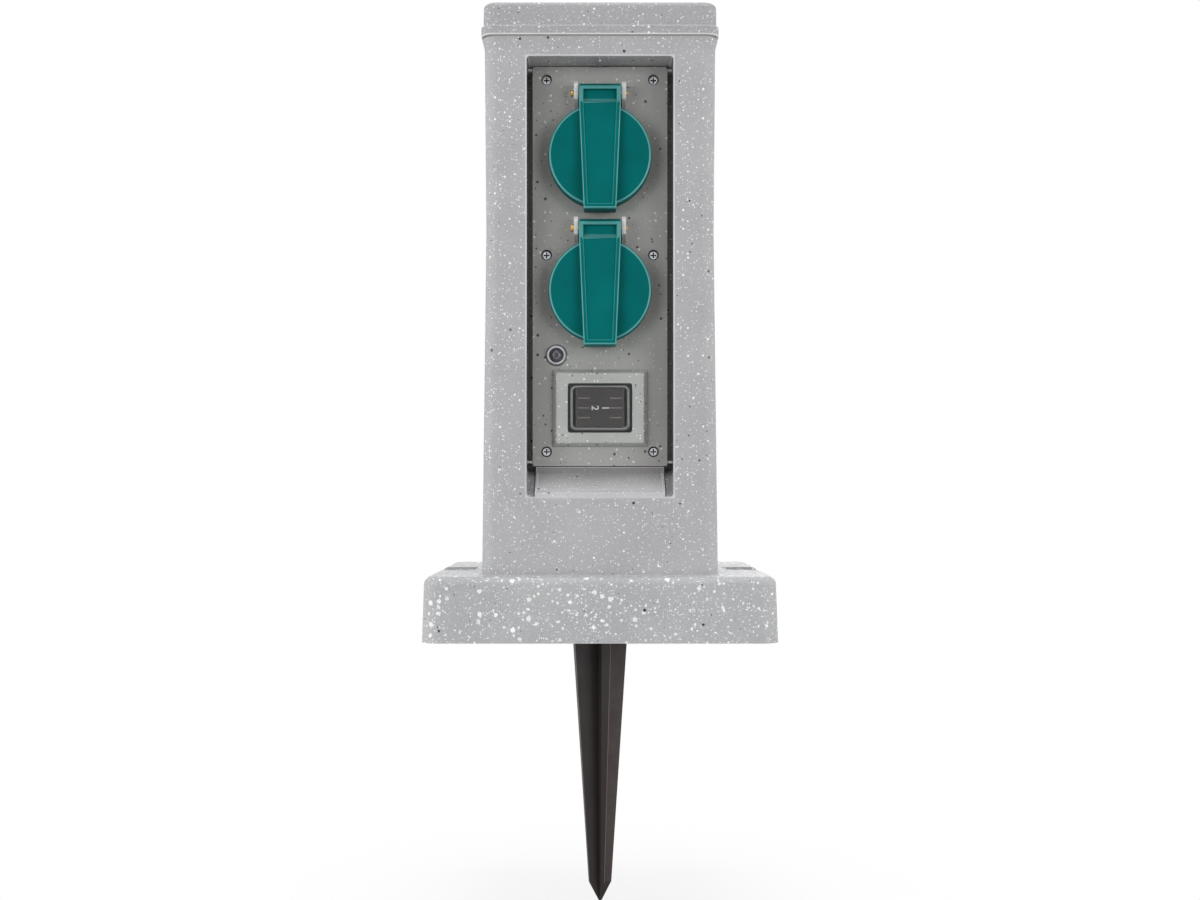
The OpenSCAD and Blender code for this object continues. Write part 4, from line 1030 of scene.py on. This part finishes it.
def islands(mesh: bmesh.types.BMesh) -> list[list[bmesh.types.BMFace]]:
    """Splits a mesh into its separate solids.

    Args:
        mesh: The mesh.

    Returns:
        The faces of each solid.
    """
    found: list[list[bmesh.types.BMFace]] = []
    seen: set[int] = set()
    for start in mesh.faces:
        if start.index in seen:
            continue
        seen.add(start.index)
        solid = [start]
        for face in solid:
            for edge in face.edges:
                for near in edge.link_faces:
                    if near.index not in seen:
                        seen.add(near.index)
                        solid.append(near)
        found.append(solid)
    return found


# Sub-assemblies


@dataclass
class GroundFoot:
    """The hollow foot with its spike and fixings."""

    finishes: ClassVar[dict[str, Finish]] = {
        "base_foot": FOOT_STONE,
        "spike_bolt": ZINC_STEEL,
        "spike_washer": ZINC_STEEL,
        "spike_nut": ZINC_STEEL,
        "base_screws": ZINC_STEEL,
    }
    edge_width: float = 0.35
    bright_edge: Zone = Zone((1.8, 6), (-13.2, -4.5), (-121, 1))
    lit_side: Zone = Zone((1, 14), (-4, 4), (-121, 1))
    # The way that the front face of the vane with painted light looks, and how closely its faces follow it
    vane_front: Point = (0.242, -0.970, 0.0)
    vane_least: float = 0.9

    def build(self) -> None:
        """Dresses the foot, paints a highlight on the front vane's rounded edge and light on the next vane.
        """
        dress_nodes(self.finishes)
        # The front vane's rounded right edge gets a painted highlight
        spike = softened(
            "ground_spike", self.edge_width, SPIKE_NYLON, SPIKE_HIGHLIGHT, zone=self.bright_edge, clamp=False
        )
        # Painted light on the front face of the vane beside the front vane
        repaint(spike, SPIKE_LIT_VANE, self.lit_side, self.vane_front, self.vane_least)


@dataclass
class Column:
    """The column, its cap and gasket, and the sill under the panel."""

    finishes: ClassVar[dict[str, Finish]] = {"cap_gasket": GASKET_GREY}
    # The niche's opening, its lip and how far forward the column's front lies at least
    niche_half: float = 32.55
    niche_low: float = 62.9
    niche_high: float = 258.5
    lip_width: float = 0.75
    lip_least: float = 0.3
    front: float = -50.4
    # Each wall beside the panel: where it lies from the middle, where it begins and how far back it is seen
    gap_wall: Span = (31.5, 36.0)
    gap_low: float = 75.0
    gap_back: float = -30.0
    # Heights of the cap's rim with its painted highlight and of the step over it
    cap_rim_light: Span = (267.7, 268.35)
    cap_step: Span = (266.5, 272.5)
    cap_edge: float = 0.3
    sill_edge: float = 0.35
    sill_angle: float = 20.0

    def build(self) -> None:
        """Dresses the gasket, paints the niche's highlight and shade, and highlights the rounded cap and
        sill.
        """
        dress_nodes(self.finishes)
        self.mark_niche()
        step = Zone(z=self.cap_step)
        # The cap's rounded step gets a painted highlight
        cap = softened("top_cap", self.cap_edge, CAP_SHADED, STONE_HIGHLIGHT, zone=step, clamp=False)
        # Its lower rim gets a brighter painted highlight
        cut(cap, Axis.Z, self.cap_rim_light[1])
        repaint(cap, CAP_RIM_LIGHT, Zone(z=self.cap_rim_light))
        # The sill: painted light and shade, with a painted highlight on its rounded edges
        softened("drip_apron", self.sill_edge, APRON_SHADED, STONE_HIGHLIGHT, angle=self.sill_angle)

    def mark_niche(self) -> None:
        """Paints a highlight on the rim round the niche's opening and shade on the walls in the gap."""
        shell = copied("column_shell", COLUMN_STONE)
        side = self.niche_half + self.lip_width
        low = self.niche_low - self.lip_width
        high = self.niche_high + self.lip_width
        for axis, place in ((Axis.X, -side), (Axis.X, side), (Axis.Z, low), (Axis.Z, high)):
            cut(shell, axis, place)
        rim = Zone((-side, side), (-FAR, self.front), (low, high))
        # Painted highlight on the rim round the niche's opening
        repaint(shell, STONE_HIGHLIGHT, rim, FORWARD, self.lip_least)
        # Painted shade on the walls in the gap beside the panel
        cut(shell, Axis.Z, self.gap_low)
        near, far = self.gap_wall
        for inward, across in ((-1, (near, far)), (1, (-far, -near))):
            gap = Zone(across, (self.front, self.gap_back), (self.gap_low, high))
            repaint(shell, GAP_SHADE, gap, (inward, 0, 0))


@dataclass
class SocketPanel:
    """The panel with its screws and the cups, contacts and clips of both sockets."""

    finishes: ClassVar[dict[str, Finish]] = {
        "upper_socket_cup": CUP_POLYAMIDE,
        "lower_socket_cup": CUP_POLYAMIDE,
        "upper_cup_screws": ZINC_STEEL,
        "lower_cup_screws": ZINC_STEEL,
        "upper_contacts": BRASS,
        "lower_contacts": BRASS,
        "upper_earth_clip": SPRING_STEEL,
        "lower_earth_clip": SPRING_STEEL,
    }
    # The screws' cross slots: reach from the axis, depth, its slack, and how far forward their faces look
    slot_r: float = 1.45
    slot_depth: float = 1.0
    slot_slack: float = 0.2
    slot_turn: float = 0.5
    screw_edge: float = 0.15
    # Faces count as in front of another face, or as sunk into it, from this depth
    skin: float = 0.05
    face: float = -34.05
    ear_in: float = 9.85
    ear_out: float = 11.75
    ear_reach: float = 6.0

    def build(self) -> None:
        """Dresses the panel's nodes, paints highlights on its hinge ears and shade in the screws' cross
        slots.
        """
        dress_nodes(self.finishes)
        panel = copied("socket_panel", PANEL_GREY)
        # Painted highlight on the hinge ears
        for level in Level:
            _, axis_z = level.hinge()
            height = (axis_z - self.ear_reach, axis_z + self.ear_reach)
            for across in ((-self.ear_out, -self.ear_in), (self.ear_in, self.ear_out)):
                repaint(panel, EAR_HIGHLIGHT, Zone(across, (-FAR, self.face - self.skin), height))
        # Painted shade in the screws' cross slots
        self.darken_slots(softened("panel_screws", self.screw_edge, ZINC_STEEL))

    def darken_slots(self, screws: Object) -> None:
        """Paints shade inside each screw's cross slot, with a finish of its own.

        Args:
            screws: Screws whose heads face -Y.
        """
        screws.data.materials.append(SLOT_SHADE.material())
        mesh = bmesh.new()
        mesh.from_mesh(screws.data)
        mesh.faces.ensure_lookup_table()
        deepest = (self.slot_depth + self.slot_slack) * MM
        for solid in islands(mesh):
            corners = [corner.co for face in solid for corner in face.verts]
            mid_x = (min(c.x for c in corners) + max(c.x for c in corners)) / 2
            mid_z = (min(c.z for c in corners) + max(c.z for c in corners)) / 2
            front = min(c.y for c in corners)
            for face in solid:
                centre = face.calc_center_median()
                near = hypot(centre.x - mid_x, centre.z - mid_z) < self.slot_r * MM
                sunk = self.skin * MM < centre.y - front < deepest
                if near and sunk and face.normal.y < self.slot_turn:
                    face.material_index = len(screws.data.materials) - 1
        mesh.to_mesh(screws.data)
        mesh.free()


@dataclass
class SocketFlap:
    """One sprung flap with its seal, pin and spring; the heights and depths are from the hinge axis."""

    level: Level
    edge_width: float = 0.45
    front: float = 2.9
    # The frame round the window: its lower end and how far out it starts
    lip_low: float = 4.9
    lip_out: float = 4.6
    # The slope under the frame: its reach below it, its upper end and how closely its faces follow it
    slope_below: float = 0.3
    slope_high: float = 3.0
    slope_least: float = 0.75
    # The strap's sunk field: half width, gap below the frame and how closely its edges face its middle
    strap_half: float = 8.2
    field_gap: float = 1.0
    field_least: float = 0.8

    def build(self) -> None:
        """Rounds and highlights the flap's edges, paints highlights on its lip and field, and dresses the
        rest.
        """
        name = self.level.value
        hinge_y, hinge_z = self.level.hinge()
        front = Zone(y=(-FAR, hinge_y - self.front))
        # Painted highlight on the flap's rounded front edges
        flap = softened(f"{name}_flap", self.edge_width, FLAP_TEAL, FLAP_HIGHLIGHT, zone=front, clamp=False)
        self.highlight_lip(flap, hinge_y, hinge_z)
        self.dim_field_highlight(flap, hinge_z - self.lip_low - self.field_gap)
        dress_nodes(
            {
                f"{name}_flap_seal": SEAL_RUBBER,
                f"{name}_hinge_pin": BRASS,
                f"{name}_flap_spring": SPRING_STEEL,
            }
        )

    def highlight_lip(self, flap: Object, hinge_y: float, hinge_z: float) -> None:
        """Paints a highlight on the frame round the window over the hinge and on the slope under it.

        Args:
            flap: The flap's mesh.
            hinge_y: The hinge axis along Y, in millimetres.
            hinge_z: The hinge axis along Z, in millimetres.
        """
        low = hinge_z - self.lip_low
        cut(flap, Axis.Z, low)
        repaint(flap, LIP_HIGHLIGHT, Zone(y=(-FAR, hinge_y - self.lip_out), z=(low, FAR)), FORWARD)
        slope = Zone(z=(low - self.slope_below, hinge_z - self.slope_high))
        repaint(flap, LIP_HIGHLIGHT, slope, (0, -1, 1), self.slope_least)

    def dim_field_highlight(self, flap: Object, high: float) -> None:
        """Gives the inner edges of the strap's sunk field a fainter painted highlight than the outer ones.

        Args:
            flap: The flap's mesh.
            high: The upper end of the field, in millimetres.
        """
        half = self.strap_half
        left = ((-half, 0), (1, -1, 0))
        right = ((0, half), (-1, -1, 0))
        below = ((-half, half), (0, -1, 1))
        for across, facing in (left, right, below):
            repaint(flap, FIELD_HIGHLIGHT, Zone(x=across, z=(0, high)), facing, self.field_least)


@dataclass
class DuskSensor:
    """The dusk sensor: ring, lens, nut and cell."""

    finishes: ClassVar[dict[str, Finish]] = {
        "sensor_bezel": BRIGHT_RING,
        "sensor_lens": SMOKED_LENS,
        "sensor_nut": ZINC_STEEL,
        "photocell": CELL,
    }

    def build(self) -> None:
        """Dresses the sensor's nodes."""
        dress_nodes(self.finishes)


@dataclass
class CoveredSwitch:
    """The rocker switch in its frame, under its clear cover, with a numeral on each half of the rocker."""

    finishes: ClassVar[dict[str, Finish]] = {
        "switch_body": CASE_BLACK,
        "switch_terminals": BRASS,
        "switch_leads": BLUE_WIRE,
    }
    # The rocker: its axis, how far it stands out at its ends, the dip in its middle and its half width
    centre_z: float = 102.9
    axis_y: float = -31.45
    rocker_out: float = 7.0
    rocker_dip: float = 0.9
    rocker_half: float = 10.7
    # The numerals: how far from the middle, how high, how thick, and how much bolder than the plain letter
    mark_x: float = 2.35
    mark_height: float = 3.2
    ink: float = 0.02
    ink_swell: float = 0.05
    # Height of a numeral in a font whose size is 1
    figure_height: float = 0.7
    # The rocker's ribs: how far forward they begin, and their reach up and down
    rib_front: float = -38.41
    rib_span: float = 5.0
    frame_edge: float = 0.25
    rocker_edge: float = 0.16
    cover_edge: float = 0.3
    # Where the inside of the cover's upper and lower walls lies along Y, and how much thinner they get
    cover_inside: Span = (-40.95, -40.3)
    cover_room: float = 0.3

    def build(self) -> None:
        """Dresses the switch's nodes, rounds what is seen and prints both numerals."""
        dress_nodes(self.finishes)
        softened("switch_frame", self.frame_edge, FRAME_GREY)
        # Painted highlight on the rocker's rounded rims; the ribs' fronts get the same paler grey
        rocker = softened("switch_rocker", self.rocker_edge, ROCKER_BLACK, ROCKER_PALE)
        height = (self.centre_z - self.rib_span, self.centre_z + self.rib_span)
        repaint(rocker, ROCKER_PALE, Zone(y=(-FAR, self.rib_front), z=height), FORWARD)
        # Painted highlight on the cover's rounded edges
        self.make_room(softened("switch_boot", self.cover_edge, CLEAR_COVER, COVER_HIGHLIGHT))
        for half in Half:
            self.print_numeral(half)

    def make_room(self, cover: Object) -> None:
        """Thins the cover's upper and lower walls a little from inside, where the rocker's ends swing past.

        Args:
            cover: The clear cover's mesh.
        """
        low, high = self.cover_inside
        for corner in cover.data.vertices:
            off = corner.co.z / MM - self.centre_z
            if low < corner.co.y / MM < high and abs(off) > self.rocker_half / 2:
                corner.co.z += self.cover_room * MM * (1 if off > 0 else -1)

    def print_numeral(self, half: Half) -> None:
        """Prints one numeral on the rocker's sloping face, its top to the right.

        Args:
            half: The half of the rocker that takes it.
        """
        bpy.ops.object.select_all(action="DESELECT")
        bpy.ops.object.text_add()
        figure = bpy.context.active_object
        figure.data.body = half.numeral
        figure.data.size = self.mark_height * MM / self.figure_height
        figure.data.align_x = "CENTER"
        figure.data.align_y = "CENTER"
        figure.data.extrude = self.ink * MM / 2
        figure.data.offset = self.ink_swell * MM
        figure.name = f"rocker_numeral_{half.name.lower()}"
        bpy.ops.object.convert(target="MESH")
        piece = bpy.context.active_object
        depth = self.rocker_out - self.rocker_dip * (1 - self.mark_x / self.rocker_half)
        place = Vector((half.side * self.mark_x, self.axis_y - depth - self.ink / 2, self.centre_z)) * MM
        slope = -half.side * atan2(self.rocker_dip, self.rocker_half)
        upright = Matrix.Rotation(pi / 2, 4, "X") @ Matrix.Rotation(-pi / 2, 4, "Z")
        piece.matrix_world = Matrix.Translation(place) @ Matrix.Rotation(slope, 4, "Z") @ upright
        settle(piece)
        piece.data.materials.clear()
        piece.data.materials.append(WHITE_INK.material())
        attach(piece, ROCKER_BODY)
        log.info("%s printed", piece.name)


@dataclass
class WiringBox:
    """The closed box behind the panel, with the control board, terminals, gland and wires."""

    finishes: ClassVar[dict[str, Finish]] = {
        "inner_box": BOX_GREY,
        "box_gasket": SEAL_RUBBER,
        "control_board": GREEN_BOARD,
        "board_screws": ZINC_STEEL,
        "relay": RELAY_BLUE,
        "terminal_block": BLOCK_CREAM,
        "terminal_screws": ZINC_STEEL,
        "cable_gland": CASE_BLACK,
        "gland_seal": SEAL_RUBBER,
        "gland_cap": CASE_BLACK,
        "gland_nut": CASE_BLACK,
        "live_wires": BROWN_WIRE,
        "neutral_wires": BLUE_WIRE,
        "earth_wires": EARTH_WIRE,
    }

    def build(self) -> None:
        """Dresses the box's nodes."""
        dress_nodes(self.finishes)


# Stage


@dataclass(frozen=True)
class SoftBox:
    """A square studio lamp with its place and width in metres and its power in watts."""

    name: str
    place: Point
    width: float
    power: float

    def hang(self, target: Point) -> None:
        """Hangs the lamp in its place.

        Args:
            target: The point that it shines at, in metres.
        """
        lamp = bpy.data.lights.new(self.name, "AREA")
        lamp.shape = "SQUARE"
        lamp.size = self.width
        lamp.energy = self.power
        stand = bpy.data.objects.new(self.name, lamp)
        stand.location = self.place
        stand.rotation_euler = (Vector(target) - Vector(self.place)).to_track_quat("-Z", "Y").to_euler()
        bpy.context.scene.collection.objects.link(stand)


@dataclass
class Studio:
    """Pale floor, white surroundings, soft lamps and the photograph's camera."""

    soft_boxes: ClassVar[tuple[SoftBox, ...]] = (
        SoftBox("front_left_box", (-1.1, -1.45, 0.2), 0.9, 12.2),
        SoftBox("front_right_box", (1.1, -1.45, 0.2), 0.9, 11.8),
        SoftBox("front_top_box", (0.0, -1.3, 1.4), 0.9, 2.5),
        SoftBox("left_box", (-1.6, -0.1, 0.3), 1.0, 12.0),
        SoftBox("right_box", (1.6, -0.1, 0.3), 1.0, 9.5),
        SoftBox("top_box", (0.0, -0.1, 1.8), 1.0, 16.0),
        SoftBox("back_box", (0.3, 1.7, 0.7), 1.2, 10.0),
    )
    # The point that the lamps shine at and the camera's place, in metres
    target: Point = (0.0, 0.0, 0.12)
    eye: Point = (0.0, -0.788, 0.0667)
    floor_gap_mm: float = 0.4
    floor_half_m: float = 12.0
    # The photograph's focal length and horizon, in pixels of its full size
    focal_px: float = 1659.0
    horizon_px: float = 488.0
    sensor_mm: float = 36.0
    nearest_m: float = 0.01
    # How much the white surroundings light the object, of their full strength
    sky: float = 0.22

    def build(self) -> None:
        """Sets up the whole stage."""
        bpy.context.scene.view_settings.view_transform = "Standard"
        self.lay_floor()
        self.fill_sky()
        for lamp in self.soft_boxes:
            lamp.hang(self.target)
        self.aim_camera()

    def lay_floor(self) -> None:
        """Lays a pale floor under the spike's point that fades into the white surroundings."""
        bpy.ops.object.select_all(action="DESELECT")
        low = cad_bounds[0][2] - self.floor_gap_mm * MM
        bpy.ops.mesh.primitive_plane_add(size=2 * self.floor_half_m, location=(0, 0, low))
        floor = bpy.context.active_object
        floor.name = "studio_floor"
        settle(floor)
        floor.data.materials.append(STUDIO_PAPER.material())

    def fill_sky(self) -> None:
        """Makes the surroundings white to the eye and a level, softer light on the object."""
        world = bpy.data.worlds.new("studio_world")
        bpy.context.scene.world = world
        world.use_nodes = True
        tree = world.node_tree
        strength = add(tree, "ShaderNodeMapRange", (seen_directly(tree), 0, 1, self.sky, 1)).outputs[0]
        feed(tree, tree.nodes["Background"], {"Color": WHITE, "Strength": strength})

    def aim_camera(self) -> None:
        """Sets the level camera, shifted so that its horizon lies where the photograph's does."""
        lens = bpy.data.cameras.new("eye")
        lens.sensor_width = self.sensor_mm
        lens.lens = self.focal_px * self.sensor_mm / PHOTO_WIDTH
        lens.shift_y = (self.horizon_px - PHOTO_HEIGHT / 2) / PHOTO_WIDTH
        lens.clip_start = self.nearest_m
        camera = bpy.data.objects.new("eye", lens)
        camera.location = self.eye
        camera.rotation_euler = (pi / 2, 0, 0)
        bpy.context.scene.collection.objects.link(camera)
        bpy.context.scene.camera = camera


def main() -> None:
    """Builds the stage and every sub-assembly."""
    Studio().build()
    for part in (
        GroundFoot(),
        Column(),
        SocketPanel(),
        SocketFlap(Level.UPPER),
        SocketFlap(Level.LOWER),
        DuskSensor(),
        CoveredSwitch(),
        WiringBox(),
    ):
        part.build()
        log.info("%s done", type(part).__name__)


if __name__ == "__main__":
    logging.basicConfig(level=logging.INFO, format="%(message)s")
    main()
